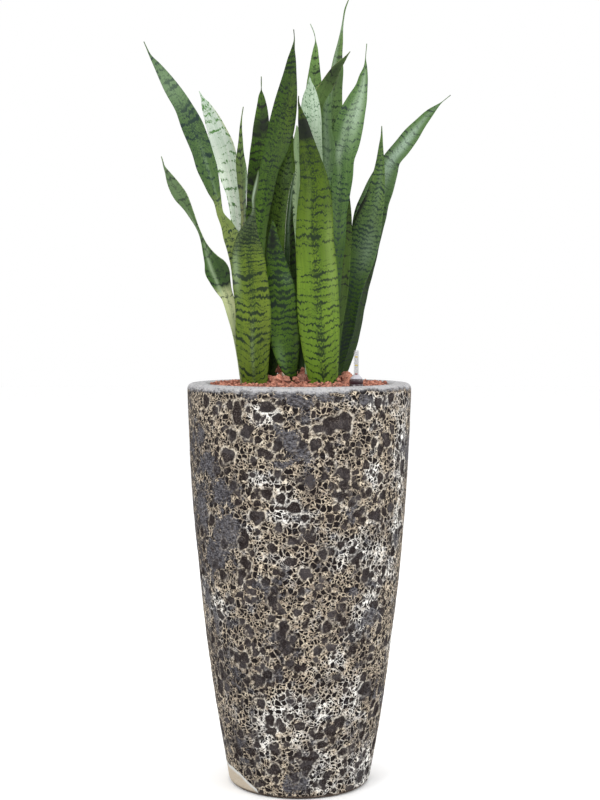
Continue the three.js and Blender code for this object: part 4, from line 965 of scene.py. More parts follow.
def smooth_rows(rows, spacing):
    """Rows at an even spacing along cubic curves through the given rows. The slope at a row
    is the mean of the slopes beside it, each weighted by the length of the other stretch."""
    steps = np.linalg.norm(np.diff(rows[:, :3], axis=0), axis=1)
    at = np.concatenate([[0], np.cumsum(steps)])
    slope = np.diff(rows, axis=0) / steps[:, None]
    tangent = np.concatenate([slope[:1], slope[1:], slope[-1:]])
    tangent[1:-1] = ((slope[:-1] * steps[1:, None] + slope[1:] * steps[:-1, None])
                     / (steps[:-1] + steps[1:])[:, None])
    places = np.linspace(0, at[-1], int(at[-1] / spacing))
    part = np.clip(np.searchsorted(at, places, side="right") - 1, 0, len(steps) - 1)
    length = steps[part][:, None]
    u = ((places - at[part]) / steps[part])[:, None]
    return ((2 * u ** 3 - 3 * u ** 2 + 1) * rows[part]
            + (u ** 3 - 2 * u ** 2 + u) * length * tangent[part]
            + (3 * u ** 2 - 2 * u ** 3) * rows[part + 1]
            + (u ** 3 - u ** 2) * length * tangent[part + 1])


def leaf_fields(name, height, s):
    """The markings as fields over the blade: each is a sum of bells, one for each spot."""
    fields = {field: np.zeros(s.shape) for field in ("dark", "pale", "warm", "shade", "dots")}
    for field, spots in MARKS.get(name, {}).items():
        for level, tall, strength, *across in spots:
            place, wide = across or (0, 2)
            fields[field] += strength * np.exp(-((height - level) / tall) ** 2
                                               - ((s - place) / wide) ** 2)
    return fields


def make_leaf(name, cup, wave, path):
    """A blade: at each row an arc of the channel, thick in the middle and thin at the margins,
    with margins that wave slowly along the blade. The ring runs across the front from the left
    margin to the right, and back across the rear. The field called blade holds the place
    across, the run along the blade and the way from its middle, these two in metres."""
    path = np.array(path, dtype=float)
    reach = (path[0, 2] - LEAF_FOOT) / (path[1, 2] - path[0, 2])
    foot = path[0] - np.array([*(path[1, :3] - path[0, :3]) * reach, 0, 0])
    rows = smooth_rows(np.concatenate([foot[None], path]), BLADE_SPACING)
    centre = rows[:, :3]
    half_width = np.maximum(rows[:, 3], LEAST_HALF_WIDTH)[:, None]
    turn = np.radians(rows[:, 4])
    along = unit(np.gradient(centre, axis=0))
    facing = np.stack([np.sin(turn), -np.cos(turn), np.zeros(len(turn))], axis=1)
    lift = unit(facing - along * (facing * along).sum(axis=1, keepdims=True))
    across = np.cross(along, lift)

    s = np.linspace(-1, 1, BLADE_COLUMNS)
    s = np.concatenate([s, s[::-1]])[None, :]
    side = np.repeat([1.0, -1.0], BLADE_COLUMNS)
    height = centre[:, 2:3]
    near_base = np.clip((BASE_ZONE_TOP - height) / (BASE_ZONE_TOP - LEAF_FOOT), 0, 1)
    bend = CHANNEL_ANGLE + BASE_CHANNEL_ANGLE * near_base
    arc = half_width / np.sin(bend)
    middle = TIP_THICKNESS + THICKNESS_PER_WIDTH * half_width + BASE_THICKENING * near_base
    thick = MARGIN_THICKNESS + (middle - MARGIN_THICKNESS) * (1 - s * s)
    free = (1 - near_base) * half_width
    ripple = (WAVE_PER_WIDTH * np.sin(TURN * height / WAVE_LENGTH + wave) * s ** 3
              + RIPPLE_PER_WIDTH * np.sin(TURN * height / RIPPLE_LENGTH + 2 * wave + 2 * s)
              * np.abs(s) ** 5)
    rise = cup * arc * (1 - np.cos(s * bend)) + free * ripple
    sideways = arc * np.sin(s * bend)
    normal = (lift[:, None] * np.cos(s * bend)[..., None]
              - cup * across[:, None] * np.sin(s * bend)[..., None])
    points = (centre[:, None] + across[:, None] * sideways[..., None]
              + lift[:, None] * rise[..., None] + normal * (side * thick / 2)[..., None])

    height, s = np.broadcast_arrays(height, s)
    fields = leaf_fields(name, height, s)
    run = np.concatenate([[0], np.cumsum(np.linalg.norm(np.diff(centre, axis=0), axis=1))])
    fields["blade"] = np.stack(np.broadcast_arrays(s, run[:, None] * MM, s * half_width * MM),
                               axis=-1)
    return ring_piece(name + "_blade", points * MM, fields)


# What a leaf has where its own look doesn't say otherwise. Its low green turns into its light
# green between the two runs of its rise. Of its bands, duty is their share of the blade, pitch
# how many there are to a metre, chevron how far they climb, crowd how much closer they lie past
# the run crowd_from, uneven how their width varies, mottle how broken they are, lines how strong
# the thin ones are, rib how much the midrib widens them, over rib_width, soft how soft their
# edges are and strength how dark they are. Dots are those of the midrib, and edge is the colour
# of a margin. Pale is the colour of the painted sheen and the paler tone, and warm that of the
# warm tint.
PLAIN_LOOK = dict(
    slot="leaf_green", rise=(0.03, 0.26), duty=0.14, pitch=80.0, chevron=0.014, crowd=0.0,
    crowd_from=0.24, uneven=1.6, mottle=0.9, lines=0.7, rib=0.1, rib_width=0.3, dots=0.5,
    strength=0.93, soft=0.15, edge=None, edge_width=0.03, pale=(0.40, 0.50, 0.40),
    warm=(0.17, 0.19, 0.03), rough=0.5, coat=0.03,
)
# The low green and the bands of leaves that are alike
FRESH_GREEN = dict(low=(0.040, 0.098, 0.006), band=(0.003, 0.010, 0.006))
DEEP_GREEN = dict(low=(0.016, 0.045, 0.003), band=(0.002, 0.006, 0.002))
GREY_GREEN = dict(low=(0.035, 0.085, 0.015), band=(0.010, 0.028, 0.014))
LEAF_LOOKS = {
    "leaf_front_left": dict(
        light=(0.046, 0.074, 0.022), low=(0.088, 0.142, 0.01), rise=(0.235, 0.31),
        band=(0.004, 0.013, 0.005), duty=0.17, chevron=0.013, crowd=1.0, crowd_from=0.225,
        uneven=2.0, mottle=1.1, rib=0.08, dots=0.6),
    "leaf_front_right": dict(
        light=(0.04, 0.078, 0.001), low=(0.111, 0.198, 0.015), rise=(0.05, 0.44),
        band=(0.004, 0.013, 0.005), duty=0.13, pitch=84.0, uneven=1.3, mottle=1.1, lines=0.6,
        rib_width=0.34, soft=0.12, dots=0.9, pale=(0.3, 0.4, 0.12)),
    "leaf_front_centre": dict(
        light=(0.044, 0.1, 0.006), low=(0.062, 0.136, 0.008), rise=(0.1, 0.3),
        band=(0.005, 0.015, 0.01), duty=0.24, pitch=95.0, chevron=0.003, uneven=1.8, mottle=1.0,
        pale=(0.15, 0.24, 0.14)),
    "leaf_inner_dark": dict(
        FRESH_GREEN, light=(0.078, 0.15, 0.016), duty=0.02, pitch=120.0, mottle=1.8, lines=0.85),
    "leaf_centre_tall": dict(
        FRESH_GREEN, light=(0.037, 0.084, 0.006), low=(0.06, 0.135, 0.008), rise=(0.25, 0.42),
        pitch=125.0, chevron=0.012, mottle=1.8, lines=0.9),
    "leaf_left_dark": dict(
        DEEP_GREEN, light=(0.046, 0.11, 0.004), duty=0.26, pitch=75.0, chevron=0.01, mottle=1.1,
        dots=0.7),
    "leaf_left_olive": dict(FRESH_GREEN, light=(0.083, 0.145, 0.03), warm=(0.2, 0.19, 0.06)),
    "leaf_left_pale": dict(
        slot="leaf_pale_side", light=(0.42, 0.52, 0.41), low=(0.66, 0.78, 0.62), rise=(0.4, 0.48),
        band=(0.05, 0.16, 0.02), duty=0.03, pitch=66.0, chevron=0.01, mottle=1.9, lines=0.8,
        rib=0.0, dots=0.0, warm=(0.45, 0.45, 0.1)),
    "leaf_far_left": dict(
        light=(0.054, 0.108, 0.03), low=(0.175, 0.25, 0.07), rise=(0.335, 0.365),
        band=(0.008, 0.022, 0.02), pitch=85.0, uneven=2.2, mottle=1.6, soft=0.2, strength=0.95,
        dots=0.8, pale=(0.22, 0.32, 0.19)),
    "leaf_left_twisted": dict(
        FRESH_GREEN, light=(0.034, 0.08, 0.014), low=(0.36, 0.42, 0.2), rise=(0.195, 0.215),
        duty=0.12, dots=0.7, edge=(0.26, 0.32, 0.16), edge_width=0.02, pale=(0.24, 0.32, 0.19)),
    # Its margin colour is partly a painted highlight along the curled edge.
    "leaf_inner_curled": dict(
        GREY_GREEN, light=(0.06, 0.115, 0.04), duty=0.0, edge=(0.22, 0.24, 0.18), edge_width=0.07),
    "leaf_inner_pale": dict(
        GREY_GREEN, slot="leaf_pale_side", light=(0.2, 0.29, 0.14), low=(0.02, 0.05, 0.008),
        rise=(0.2, 0.28), duty=-0.15, rib=0.0),
    "leaf_back_hidden": dict(DEEP_GREEN, light=(0.03, 0.072, 0.003), duty=0.1, mottle=1.6),
    "leaf_back_pale": dict(
        slot="leaf_pale_side", light=(0.28, 0.38, 0.26), low=(0.21, 0.29, 0.17), rise=(0.4, 0.5),
        band=(0.03, 0.085, 0.03), duty=-0.02, pitch=150.0, uneven=1.5, mottle=2.6, lines=0.9,
        rib=0.0, dots=0.0),
    "leaf_back_needle": dict(
        FRESH_GREEN, light=(0.098, 0.185, 0.045), duty=0.08, pitch=85.0, mottle=1.2),
    "leaf_back_slant": dict(
        DEEP_GREEN, light=(0.082, 0.15, 0.034), duty=0.12, edge=(0.3, 0.2, 0.09), edge_width=0.015),
    "leaf_back_tallest": dict(
        FRESH_GREEN, light=(0.078, 0.148, 0.036), duty=0.03, pitch=90.0, mottle=1.4, strength=0.85),
    "leaf_right_grey": dict(
        GREY_GREEN, light=(0.066, 0.13, 0.037), duty=0.08, mottle=1.4, strength=0.8),
    "leaf_right_glossy": dict(
        light=(0.07, 0.145, 0.034), low=(0.029, 0.076, 0.002), rise=(0.24, 0.4),
        band=(0.008, 0.024, 0.016), duty=0.12, pitch=100.0, mottle=1.6, pale=(0.4, 0.52, 0.38),
        coat=0.08),
    "leaf_right_inner": dict(DEEP_GREEN, light=(0.045, 0.09, 0.006), duty=0.12),
    "leaf_right_banded": dict(
        light=(0.072, 0.134, 0.028), low=(0.026, 0.068, 0.001), rise=(0.2, 0.32),
        band=(0.006, 0.019, 0.015), duty=0.24, pitch=130.0, chevron=0.006, uneven=1.5, mottle=1.1,
        pale=(0.2, 0.28, 0.2)),
    "leaf_right_arched": dict(
        light=(0.064, 0.13, 0.034), low=(0.016, 0.044, 0.001), rise=(0.26, 0.4),
        band=(0.004, 0.012, 0.009), duty=0.08, pitch=90.0, pale=(0.36, 0.48, 0.37), coat=0.08),
    "dry_leaf_scale": dict(
        slot="dry_leaf", light=(0.42, 0.42, 0.34), low=(0.36, 0.32, 0.24), band=(0.25, 0.2, 0.14),
        duty=-0.1, dots=0.0, rough=0.85, coat=0.0),
}


class LeafSkin(Finish):
    """Green blade with dark zigzag cross bands. A point's run along the blade is shifted by
    noises from fine teeth to slow bends and by a chevron that climbs towards the margins. Each
    pitch of the shifted run holds one band, as wide as its share: the duty, changed from band
    to band and along each band by noise, wider at the midrib and in the dark spots, and broken
    into dashes by a mottle. Thinner bands and clusters of dots lie between them."""

    def __init__(self, name, seed, look):
        super().__init__(name, Coat_Weight=look["coat"], Coat_Roughness=0.3,
                         Specular_IOR_Level=0.16)
        self.seed = seed
        self.look = look
        across, self.run, self.width = self.parts(self.field("blade")["Vector"])
        self.aside = self.math("ABSOLUTE", across)
        self.grain = self.streaked(900.0, 11.0, 17.0, 2.0, 0.6)

    def streaked(self, across, along, shift, detail=2.0, rough=0.5):
        """Noise with so many swells to a metre across the blade, and along it."""
        vector = self.vector(self.times(self.width, across), self.times(self.run, along), shift)
        return self.noise(vector, 1.0, detail, rough)

    def vector(self, x, y, shift):
        return self.node("CombineXYZ", x, y, self.seed + shift).outputs[0]

    def drawn(self):
        """The run that the bands follow, crowded together above a given run."""
        look = self.look
        climb = self.step(self.run, 0.02, 0.24, -1.6 * look["chevron"], -0.2 * look["chevron"])
        drawn = self.add(self.run, self.centred(self.streaked(230.0, 45.0, 0.0, 3.0, 0.65), 0.012),
                         self.centred(self.streaked(900.0, 60.0, 7.3, 1.0), 0.004),
                         self.centred(self.streaked(55.0, 15.0, 3.1), 0.022),
                         self.times(self.aside, climb))
        if look["crowd"]:
            past = self.most(self.less(self.run, look["crowd_from"]), 0.0)
            drawn = self.add(drawn, self.times(past, look["crowd"]))
        return drawn

    def banded(self, drawn, per_metre, shift, filled):
        """One where the place in its pitch is nearer the middle than the filled share."""
        phase = self.add(self.times(drawn, per_metre), shift)
        order = self.math("FLOOR", phase)
        off = self.math("ABSOLUTE", self.less(self.less(phase, order), 0.5))
        own = self.noise(self.vector(self.times(self.width, 42.0), self.times(order, 1.7), shift),
                         1.0, 1.5)
        inside = self.less(self.add(filled, self.centred(own, self.look["uneven"])),
                           self.times(off, 2.0))
        return self.step(inside, -self.look["soft"], self.look["soft"])

    def dotted(self):
        """Clusters of dots, along the midrib and where the field called dots says."""
        dense = self.add(self.streaked(520.0, 260.0, 41.0, 2.0, 0.6),
                         self.centred(self.streaked(60.0, 55.0, 43.0), 0.4),
                         self.times(self.number("dark"), 0.10))
        share = self.most(self.step(self.aside, 0.06, 0.30, self.look["dots"], 0.0),
                          self.number("dots"))
        return self.times(self.step(dense, 0.50, 0.56), share)

    def marks(self):
        """How dark each point is with wide bands, thin ones and dots."""
        look = self.look
        drawn = self.drawn()
        midrib = self.step(self.aside, 0.3 * look["rib_width"], look["rib_width"], look["rib"], 0.0)
        share = self.add(look["duty"], self.times(self.number("dark"), 0.6), midrib,
                         self.centred(self.streaked(420.0, 190.0, 13.7, 2.0, 0.6), look["mottle"]))
        wide = self.banded(drawn, look["pitch"], self.seed * 0.37, share)
        thin = self.banded(drawn, 2.4 * look["pitch"], self.seed * 0.11, self.add(share, -0.14))
        return self.times(self.most(wide, self.times(thin, look["lines"]), self.dotted()),
                          look["strength"])

    def green(self):
        """The blade between its bands, with clouds, stripes along it and the warm tint."""
        look = self.look
        cloudy = self.noise(self.place(), 16.0)
        stripe = self.streaked(150.0, 5.0, 29.0)
        green = self.mix(self.step(self.run, *look["rise"]), look["low"], look["light"])
        green = self.mix(self.step(cloudy, 0.35, 0.7, 0.0, 0.35), green, (0.6, 0.62, 0.6),
                         "MULTIPLY")
        green = self.mix(self.step(stripe, 0.40, 0.65, 0.0, 0.5), green, (1.5, 1.3, 1.5),
                         "MULTIPLY")
        return self.mix(self.clipped(self.number("warm")), green, look["warm"])

    def edged(self, colour):
        """The colour with a flecked margin."""
        reach = self.look["edge_width"]
        flecks = self.step(self.noise(self.place(), 420.0, 1), 0.42, 0.58)
        margin = self.step(self.aside, 1 - 2 * reach, 1 - 0.6 * reach)
        return self.mix(self.times(margin, flecks), colour, self.look["edge"])


def leaf_finish(name, seed, look):
    """Bands over green, then a painted pale sheen in fine streaks, the margin, and the shade field,
    which is painted shade in places and the leaf's own near-black parts in others.
    """
    leaf = LeafSkin(name, seed, look)
    mark = leaf.marks()
    colour = leaf.mix(mark, leaf.green(), look["band"])
    # painted sheen: the pale colour in fine streaks where the field pale asks for it, weaker over
    # the bands
    sheen = leaf.times(leaf.number("pale"), leaf.step(leaf.grain, 0.25, 0.62, 0.65, 1.0),
                       leaf.step(mark, 0.0, 1.0, 1.0, 0.45))
    colour = leaf.mix(leaf.clipped(sheen), colour, look["pale"])
    colour = leaf.mix(leaf.step(leaf.grain, 0.35, 0.75, 0.0, 0.3), colour, (0.5, 0.5, 0.5),
                      "MULTIPLY")
    if look["edge"]:
        colour = leaf.edged(colour)
    # painted shade, and some near-black parts of the leaf's own, where the field shade says
    colour = leaf.mix(leaf.clipped(leaf.number("shade")), colour,
                      leaf.mix(0.93, colour, (0.002, 0.004, 0.002)))
    rough = leaf.step(leaf.streaked(300.0, 16.0, 23.0), 0.3, 0.7, look["rough"] - 0.06,
                      look["rough"] + 0.08)
    return leaf.done(colour, rough, (leaf.grain, 0.0003), (leaf.streaked(240.0, 30.0, 19.0), 0.0004))


for order, (leaf_name, (cup, wave, path)) in enumerate(LEAVES.items()):
    leaf_look = {**PLAIN_LOOK, **LEAF_LOOKS[leaf_name]}
    skin = leaf_finish(leaf_name + "_skin", 5.0 * order, leaf_look)
    belongs(make_leaf(leaf_name, cup, wave, path), skin, [leaf_name])

# Gauge

GAUGE_X = 91
GAUGE_Y = -90
GAUGE_SIDES = 40
GAUGE_BOTTOM = 560
CUP_RADIUS = 11
CUP_BORE = 7
CUP_FLOOR = 4
CUP_TOP = 673
CUP_ROUND = 1.2
CUP_EDGE = 0.6
WAIST_DEPTH = 0.5
WAIST_BOTTOM = 664
WAIST_TOP = 667
TUBE_FLARE_RADIUS = 9.8
TUBE_FLARE_EDGE = 1.5
TUBE_FLARE_HEIGHT = 7
TUBE_NECK = 5.2
TUBE_RADIUS = 4.1
TUBE_BORE = 2.7
TUBE_TOP = 719.5
TUBE_CAP = 2.4
TUBE_ROUND = 1.5
FLOAT_RADIUS = 6.4
FLOAT_LENGTH = 46
FLOAT_SHOULDER = 3
ROD_RADIUS = 1.6
POINTER_BOTTOM = 670
POINTER_LENGTH = 13
POINTER_RADIUS = 2.2
POINTER_EDGE = 1
MARK_HEIGHTS = {"gauge_mark_upper": 709, "gauge_mark_lower": 695.5}
MARK_SPAN = 28
MARK_DEPTH = 0.2
MARK_HALF_HEIGHT = 1.1


def gauge_piece(name, profile, make=ring_piece):
    """A piece of revolution about the gauge's upright axis. The profile is a list of [radius,
    height], up the outside from the axis and back to it, or back to its start for a ring."""
    radius, height = (np.array(profile, dtype=float) * MM).T
    angle = np.arange(GAUGE_SIDES) * TURN / GAUGE_SIDES
    rings = round_rings(radius[:, None], angle, height[:, None])
    return make(name, rings + (GAUGE_X * MM, GAUGE_Y * MM, 0))


def plastic_finish(name, base, rough, grain=0.12, solid=1.0, coat=0.0):
    """Moulded plastic: a fine grain and faint cloudiness. It lets light through where its
    share of solid is under 1."""
    plastic = Finish(name, Coat_Weight=coat, Alpha=solid, IOR=1.49)
    place = plastic.place()
    cloud = plastic.noise(place, 300.0)
    colour = plastic.mix(plastic.step(cloud, 0.3, 0.8, 0.0, 0.5), base,
                         tuple((1 - grain) * c for c in base))
    return plastic.done(colour, plastic.step(cloud, 0.2, 0.8, rough, rough + 0.1),
                        (plastic.noise(place, 2500.0), 0.00006))


def gauge_mark(name, level):
    """A painted mark: a thin plate bent round the front of the tube, as rings of an arc
    section between its lower and upper edge."""
    turn = np.radians(np.linspace(-MARK_SPAN, MARK_SPAN, 9) - 90)
    radius = np.repeat([TUBE_RADIUS + MARK_DEPTH, TUBE_RADIUS], len(turn))
    levels = level + MARK_HALF_HEIGHT * np.array([-1, -0.8, 0.8, 1.0])
    rings = round_rings(radius, np.concatenate([turn, turn[::-1]]), levels[:, None])
    return ring_piece(name, (rings + (GAUGE_X, GAUGE_Y, 0)) * MM)


def gauge_profiles():
    """Profiles of the turned pieces: the cup with its waist, the sight tube's flared shoulder
    and the tube on it, and the float with its rod and the pointer on that. All but the shoulder
    start and end a little off the axis, and their poles close them."""
    cup_floor = GAUGE_BOTTOM + CUP_FLOOR
    waist = CUP_RADIUS - WAIST_DEPTH
    cup = [[3, GAUGE_BOTTOM], [CUP_RADIUS - CUP_EDGE, GAUGE_BOTTOM],
           [CUP_RADIUS, GAUGE_BOTTOM + CUP_EDGE], [CUP_RADIUS, WAIST_BOTTOM],
           [waist, WAIST_BOTTOM + CUP_EDGE], [waist, WAIST_TOP - CUP_EDGE],
           [CUP_RADIUS, WAIST_TOP],
           *quarter(CUP_RADIUS - CUP_ROUND, CUP_TOP - CUP_ROUND, CUP_ROUND, 0, 90),
           [CUP_BORE + 0.4, CUP_TOP], [CUP_BORE, CUP_TOP - 0.4], [CUP_BORE, cup_floor],
           [3, cup_floor]]
    foot = CUP_TOP + SEAT_GAP
    bore_top = TUBE_TOP - TUBE_CAP
    neck = foot + TUBE_FLARE_HEIGHT
    shoulder = [[TUBE_BORE, neck], [TUBE_BORE, foot], [TUBE_FLARE_RADIUS - 0.4, foot],
                [TUBE_FLARE_RADIUS, foot + 0.4], [TUBE_FLARE_RADIUS, foot + TUBE_FLARE_EDGE],
                [TUBE_FLARE_RADIUS - 1.4, foot + 3.2], [TUBE_NECK + 0.9, foot + 5.2],
                [TUBE_NECK, neck]]
    tube = [[0.8, bore_top], [TUBE_BORE, bore_top], [TUBE_BORE, neck], [TUBE_NECK, neck],
            [TUBE_RADIUS, neck + 1],
            *quarter(TUBE_RADIUS - TUBE_ROUND, TUBE_TOP - TUBE_ROUND, TUBE_ROUND, 0, 90),
            [0.8, TUBE_TOP]]
    float_foot = cup_floor + SEAT_GAP
    float_top = float_foot + FLOAT_LENGTH
    rod_top = POINTER_BOTTOM - SEAT_GAP
    floating = [[2, float_foot], [FLOAT_RADIUS - 0.8, float_foot],
                [FLOAT_RADIUS, float_foot + 0.8], [FLOAT_RADIUS, float_top],
                [ROD_RADIUS, float_top + FLOAT_SHOULDER], [ROD_RADIUS, rod_top], [0.5, rod_top]]
    top = POINTER_BOTTOM + POINTER_LENGTH
    pointer = [[0.8, POINTER_BOTTOM], [POINTER_RADIUS, POINTER_BOTTOM],
               [POINTER_RADIUS, top - POINTER_EDGE],
               [POINTER_RADIUS - 0.3, top - 0.3 * POINTER_EDGE],
               [POINTER_RADIUS - POINTER_EDGE, top], [0.4, top]]
    return cup, shoulder, tube, floating, pointer


def make_gauge():
    """The gauge's turned pieces and the two marks on its tube."""
    cup, shoulder, tube, floating, pointer = gauge_profiles()
    belongs(gauge_piece("gauge_cup_turned", cup),
            plastic_finish("dark_gauge_plastic", (0.045, 0.022, 0.028), 0.3, coat=0.4),
            ["gauge_cup"])
    belongs(gauge_piece("gauge_shoulder_turned", shoulder, ring_shape),
            plastic_finish("milky_gauge_plastic", (0.42, 0.41, 0.45), 0.35, 0.06, coat=0.3),
            ["gauge_sight_tube"])
    belongs(gauge_piece("gauge_tube_turned", tube),
            plastic_finish("clear_gauge_plastic", (0.30, 0.295, 0.30), 0.35, 0.06, solid=0.25),
            ["gauge_sight_tube"])
    ochre = plastic_finish("ochre_paint", (0.46, 0.36, 0.08), 0.5)
    for name, level in MARK_HEIGHTS.items():
        belongs(gauge_mark(name, level), ochre)
    belongs(gauge_piece("gauge_float_turned", floating),
            plastic_finish("float_plastic", (0.75, 0.73, 0.68), 0.4), ["gauge_float"], "float")
    belongs(gauge_piece("gauge_pointer_turned", pointer),
            plastic_finish("red_pointer_plastic", (0.42, 0.004, 0.002), 0.3), ["gauge_pointer"],
            "float")


make_gauge()

# Lava cover and what lies under it

GRAIN_TOP = 644
COVER_RADIUS = 149.4
COVER_LEVEL = 660
COVER_CROWN = 4
COVER_MARGIN = 3
BED_RADII = [20, 50, 80, 110, 135, COVER_RADIUS, COVER_RADIUS, 120, 70, 25]
BED_FLAT_RINGS = 6
BED_SIDES = 72
BED_DROP = 1.5
BED_ROLL = 0.6
GRANULE_RISE = 4.2
GRANULE_COUNT = 3500
GRANULE_SEED = 5
GRANULE_STRAY = 0.8
GRANULE_RADII = (1.8, 3.1)
GRANULE_RINGS = 3
GRANULE_SIDES = 6
GRANULE_ROUGHNESS = 0.3
GRANULE_LEVELS = (-1.5, 1.6)
LOOSE_COUNT = 1000
LOOSE_LEVELS = (1.2, 3.6)
GAUGE_DIP = 4.6
GAUGE_CLEARANCE = 1.5
SUNK_FROM = 1
SUNK_OVER = 3
# [x, y, radius] of the coarse lava pieces heaped round the leaf bases, and how much higher a
# piece lies where it rests on others
CHUNKS = [
    [-46, -38, 9], [-35, -46, 10], [-22, -46, 9], [-29, -14, 12], [-31, -12, 10.5, 17],
    [-40, -24, 9], [-3, -47, 8], [5, -47, 10], [13, -45, 8], [6, -24, 11], [7, -22, 10, 13],
    [0, 12, 11], [-30, 20, 10], [-48, 32, 9], [30, 8, 9], [36, 44, 10], [72, -8, 9],
    [80, -14, 10], [86, -2, 9], [78, 6, 9, 6], [62, -40, 7], [30, 74, 9],
    [-62, 60, 10], [-60, -24, 8],
]
CHUNK_SQUASH = 0.78
CHUNK_LIFT = 0.35
CHUNK_SCALE = 0.95
CHUNK_SEED = 23
CHUNK_RINGS = 22
CHUNK_SIDES = 34
# [waves to a chunk's radius, depth] of the swells on a chunk, from coarse to fine
CHUNK_SWELLS = [[1.7, 0.10], [2.6, 0.09], [4.5, 0.07], [8.0, 0.04], [13.0, 0.03]]
LEAF_CLEARANCE = 1
LEAF_HALF_DEPTH = 5.5
LEAF_FOOT_CUP = 0.12


def cover_top(x, y):
    """Level of the lava under its granules: a low dome."""
    return COVER_LEVEL + COVER_CROWN * (1 - (x * x + y * y) / COVER_RADIUS ** 2)


def sunk(points):
    """From 0 at the top of the granules to 1 a granule lower, where little light comes."""
    top = cover_top(points[:, 0], points[:, 1]) + GRANULE_RISE
    return np.clip((top - points[:, 2] - SUNK_FROM) / SUNK_OVER, 0, 1)


def ball_points(rings, sides):
    """Points of a ball of radius 1, in rings from below to above and then its poles."""
    polar = (np.arange(rings) + 0.5) / rings * math.pi
    angle = np.arange(sides) * TURN / sides
    return with_poles(round_rings(np.sin(polar)[:, None], angle, -np.cos(polar)[:, None]))


def lumps(name, points, rings, sides, tint, smooth):
    """Many balls as one piece, from an array with the points of each. A ball has one tint."""
    count, size = points.shape[:2]
    faces = ring_faces(rings, sides)
    every = [[corner + copy * size for corner in face] for copy in range(count) for face in faces]
    points = points.reshape(-1, 3)
    fields = {"tint": np.repeat(tint, size), "under": sunk(points)}
    return mesh_object(name, points * MM, every, fields, smooth)


def turned_at_random(points, random):
    """Each copy of a set of points, turned by a rotation matrix of its own."""
    axes = random.normal(size=(len(points), 2, 3))
    first = unit(axes[:, 0])
    second = unit(axes[:, 1] - first * (axes[:, 1] * first).sum(axis=1, keepdims=True))
    third = np.cross(first, second)
    return points @ np.stack([first, second, third], axis=1)


def clear_of_leaves(x, y):
    """True where a place lies outside the foot of every leaf."""
    free = np.ones(len(x), dtype=bool)
    for cup, _, path in LEAVES.values():
        base_x, base_y, _, half_width, degrees = path[0]
        turn = math.radians(degrees)
        sideways = np.abs((x - base_x) * math.cos(turn) + (y - base_y) * math.sin(turn))
        forward = (x - base_x) * math.sin(turn) - (y - base_y) * math.cos(turn)
        off = np.abs(forward - cup * LEAF_FOOT_CUP * sideways)
        free &= (sideways >= half_width + LEAF_CLEARANCE) | (off >= LEAF_HALF_DEPTH)
    return free


def granule_places(random):
    """Places laid by the golden angle, so that they are even, with a random stray, and a second
    loose layer on top. They dip before the gauge and leave out the gauge and the leaves."""
    reach = COVER_RADIUS - COVER_MARGIN
    count = GRANULE_COUNT
    radius = reach * np.sqrt((np.arange(count) + 0.5) / count)
    angle = np.arange(count) * GOLDEN_ANGLE
    x = radius * np.cos(angle) + random.normal(0, GRANULE_STRAY, count)
    y = radius * np.sin(angle) + random.normal(0, GRANULE_STRAY, count)
    z = random.uniform(*GRANULE_LEVELS, count)
    spread = reach * np.sqrt(random.random(LOOSE_COUNT))
    heading = random.uniform(0, TURN, LOOSE_COUNT)
    x = np.concatenate([x, spread * np.cos(heading)])
    y = np.concatenate([y, spread * np.sin(heading)])
    z = np.concatenate([z, random.uniform(*LOOSE_LEVELS, LOOSE_COUNT)])
    before_gauge = (np.abs(x - GAUGE_X) < CUP_RADIUS + 1) & (y < GAUGE_Y)
    z = z + cover_top(x, y) - GAUGE_DIP * before_gauge
    off_gauge = np.hypot(x - GAUGE_X, y - GAUGE_Y) > CUP_RADIUS + GAUGE_CLEARANCE
    return np.stack([x, y, z], axis=1)[clear_of_leaves(x, y) & off_gauge]


def make_granules():
    """Granules: balls whose points are pulled in and out at random, squashed a little along
    each axis, turned at random and set at their places."""
    random = np.random.default_rng(GRANULE_SEED)
    places = granule_places(random)
    count = len(places)
    sizes = random.uniform(*GRANULE_RADII, count)
    ball = ball_points(GRANULE_RINGS, GRANULE_SIDES)
    rough = random.uniform(1 - GRANULE_ROUGHNESS, 1 + GRANULE_ROUGHNESS, (count, len(ball), 1))
    squash = random.uniform(0.7, 1.15, (count, 1, 3))
    points = turned_at_random(ball * rough * squash * sizes[:, None, None], random)
    return lumps("lava_granules", points + places[:, None], GRANULE_RINGS, GRANULE_SIDES,
                 random.random(count), smooth=False)


def make_bed():
    """The bed under the granules: a round plate whose top rolls by a wave round it."""
    radius = np.array(BED_RADII)[:, None]
    angle = np.arange(BED_SIDES) * TURN / BED_SIDES
    level = cover_top(radius, 0) - BED_DROP + BED_ROLL * np.sin(3 * angle + radius / 9)
    level[:BED_FLAT_RINGS] = GRAIN_TOP + SEAT_GAP
    return ring_piece("lava_bed", round_rings(radius, angle, level) * MM)


def make_chunks():
    """Coarse lava: balls pushed in and out by a sum of waves in random directions, coarse
    ones for the shape and fine ones for the broken surface."""
    random = np.random.default_rng(CHUNK_SEED)
    ball = ball_points(CHUNK_RINGS, CHUNK_SIDES)
    points, tint = [], []
    for x, y, radius, *raised in CHUNKS:
        swell = np.ones(len(ball))
        for size, depth in CHUNK_SWELLS:
            for _ in range(3):
                wave = random.normal(size=3) * size
                swell += depth * np.sin(ball @ wave + random.uniform(0, TURN))
        stretch = random.uniform(0.82, 1.12, 3) * radius * CHUNK_SCALE
        lump = turned_at_random((ball * swell[:, None] * stretch)[None], random)[0]
        level = cover_top(x, y) + GRANULE_RISE + CHUNK_LIFT * radius + sum(raised)
        points.append(lump * (1, 1, CHUNK_SQUASH) + (x, y, level))
        tint.append(random.random())
    return lumps("lava_chunks", np.array(points), CHUNK_RINGS, CHUNK_SIDES, tint, smooth=True)


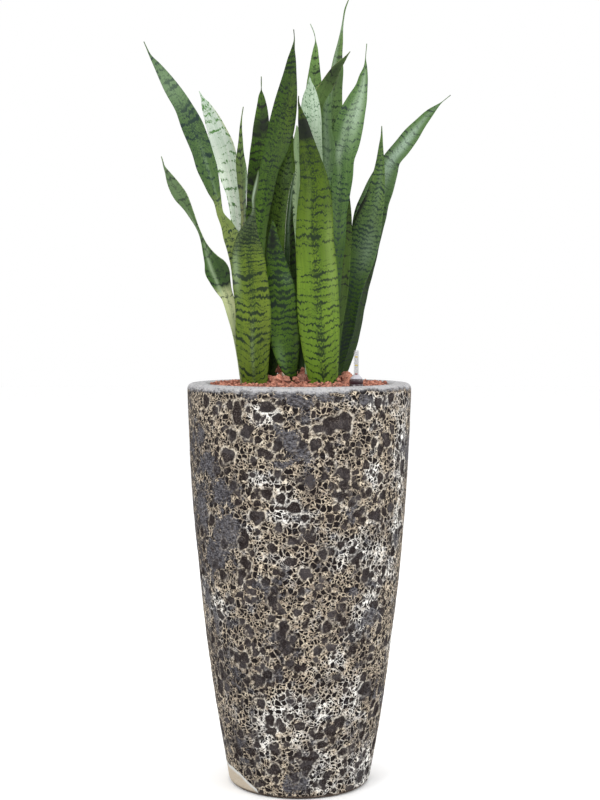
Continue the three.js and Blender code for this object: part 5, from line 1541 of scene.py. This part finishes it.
def lava_finish(name, pores, depth):
    """Rough lava: reddish brown with darker and paler grains, open pores, and painted shade
    where it lies low among the granules.
    """
    lava = Finish(name, Specular_IOR_Level=0.15)
    place = lava.place()
    tint = lava.number("tint")
    grit = lava.noise(place, 900.0, 3, 0.65)
    holes = lava.step(lava.cells(place, pores), 0.14, 0.34, 1.0, 0.0)
    colour = lava.mix(tint, (0.24, 0.072, 0.048), (0.74, 0.34, 0.235))
    colour = lava.mix(lava.step(tint, 0.82, 0.86, 0.0, 0.8), colour, (0.09, 0.036, 0.030))
    colour = lava.mix(lava.step(grit, 0.5, 0.75, 0.0, 0.6), colour, (0.72, 0.42, 0.32))
    # painted shade on lava that lies low among the granules
    colour = lava.mix(lava.times(lava.number("under"), 0.9), colour, (0.055, 0.018, 0.014))
    colour = lava.mix(lava.times(holes, 0.75), colour, (0.055, 0.022, 0.016))
    return lava.done(colour, 0.95, (lava.less(1.0, holes), depth), (grit, depth))


def earth_finish(name, dry, damp, scale):
    """Grainy ground: two tones by noise, with cells for the grains."""
    earth = Finish(name, Specular_IOR_Level=0.15)
    place = earth.place()
    grains = earth.cells(place, 2 * scale)
    colour = earth.mix(earth.step(earth.noise(place, scale, 4, 0.6), 0.4, 0.6), dry, damp)
    colour = earth.mix(earth.step(grains, 0.3, 0.6, 0.0, 0.5), colour,
                       tuple(0.4 * c for c in damp))
    return earth.done(colour, 0.95, (grains, 0.001), (earth.noise(place, 6 * scale, 3), 0.0006))


def repaint(node, finish):
    """A CAD node keeps its shape and gets a better material."""
    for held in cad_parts[node].material_slots:
        held.material = finish


# The bed's dark colour is painted shade for the gaps between the granules.
belongs(make_bed(),
        earth_finish("shaded_lava_dust", (0.08, 0.025, 0.016), (0.035, 0.014, 0.010), 160.0),
        ["lava_cover"])
belongs(make_granules(), lava_finish("granule_lava", 700.0, 0.0004),
        ["lava_cover"])
belongs(make_chunks(), lava_finish("chunk_lava", 420.0, 0.0011),
        ["lava_cover"])
repaint("grain_fill",
        earth_finish("fired_clay_grain", (0.36, 0.17, 0.10), (0.2, 0.09, 0.055), 90.0))
repaint("root_ball",
        earth_finish("damp_root_soil", (0.055, 0.036, 0.024), (0.02, 0.013, 0.009), 70.0))
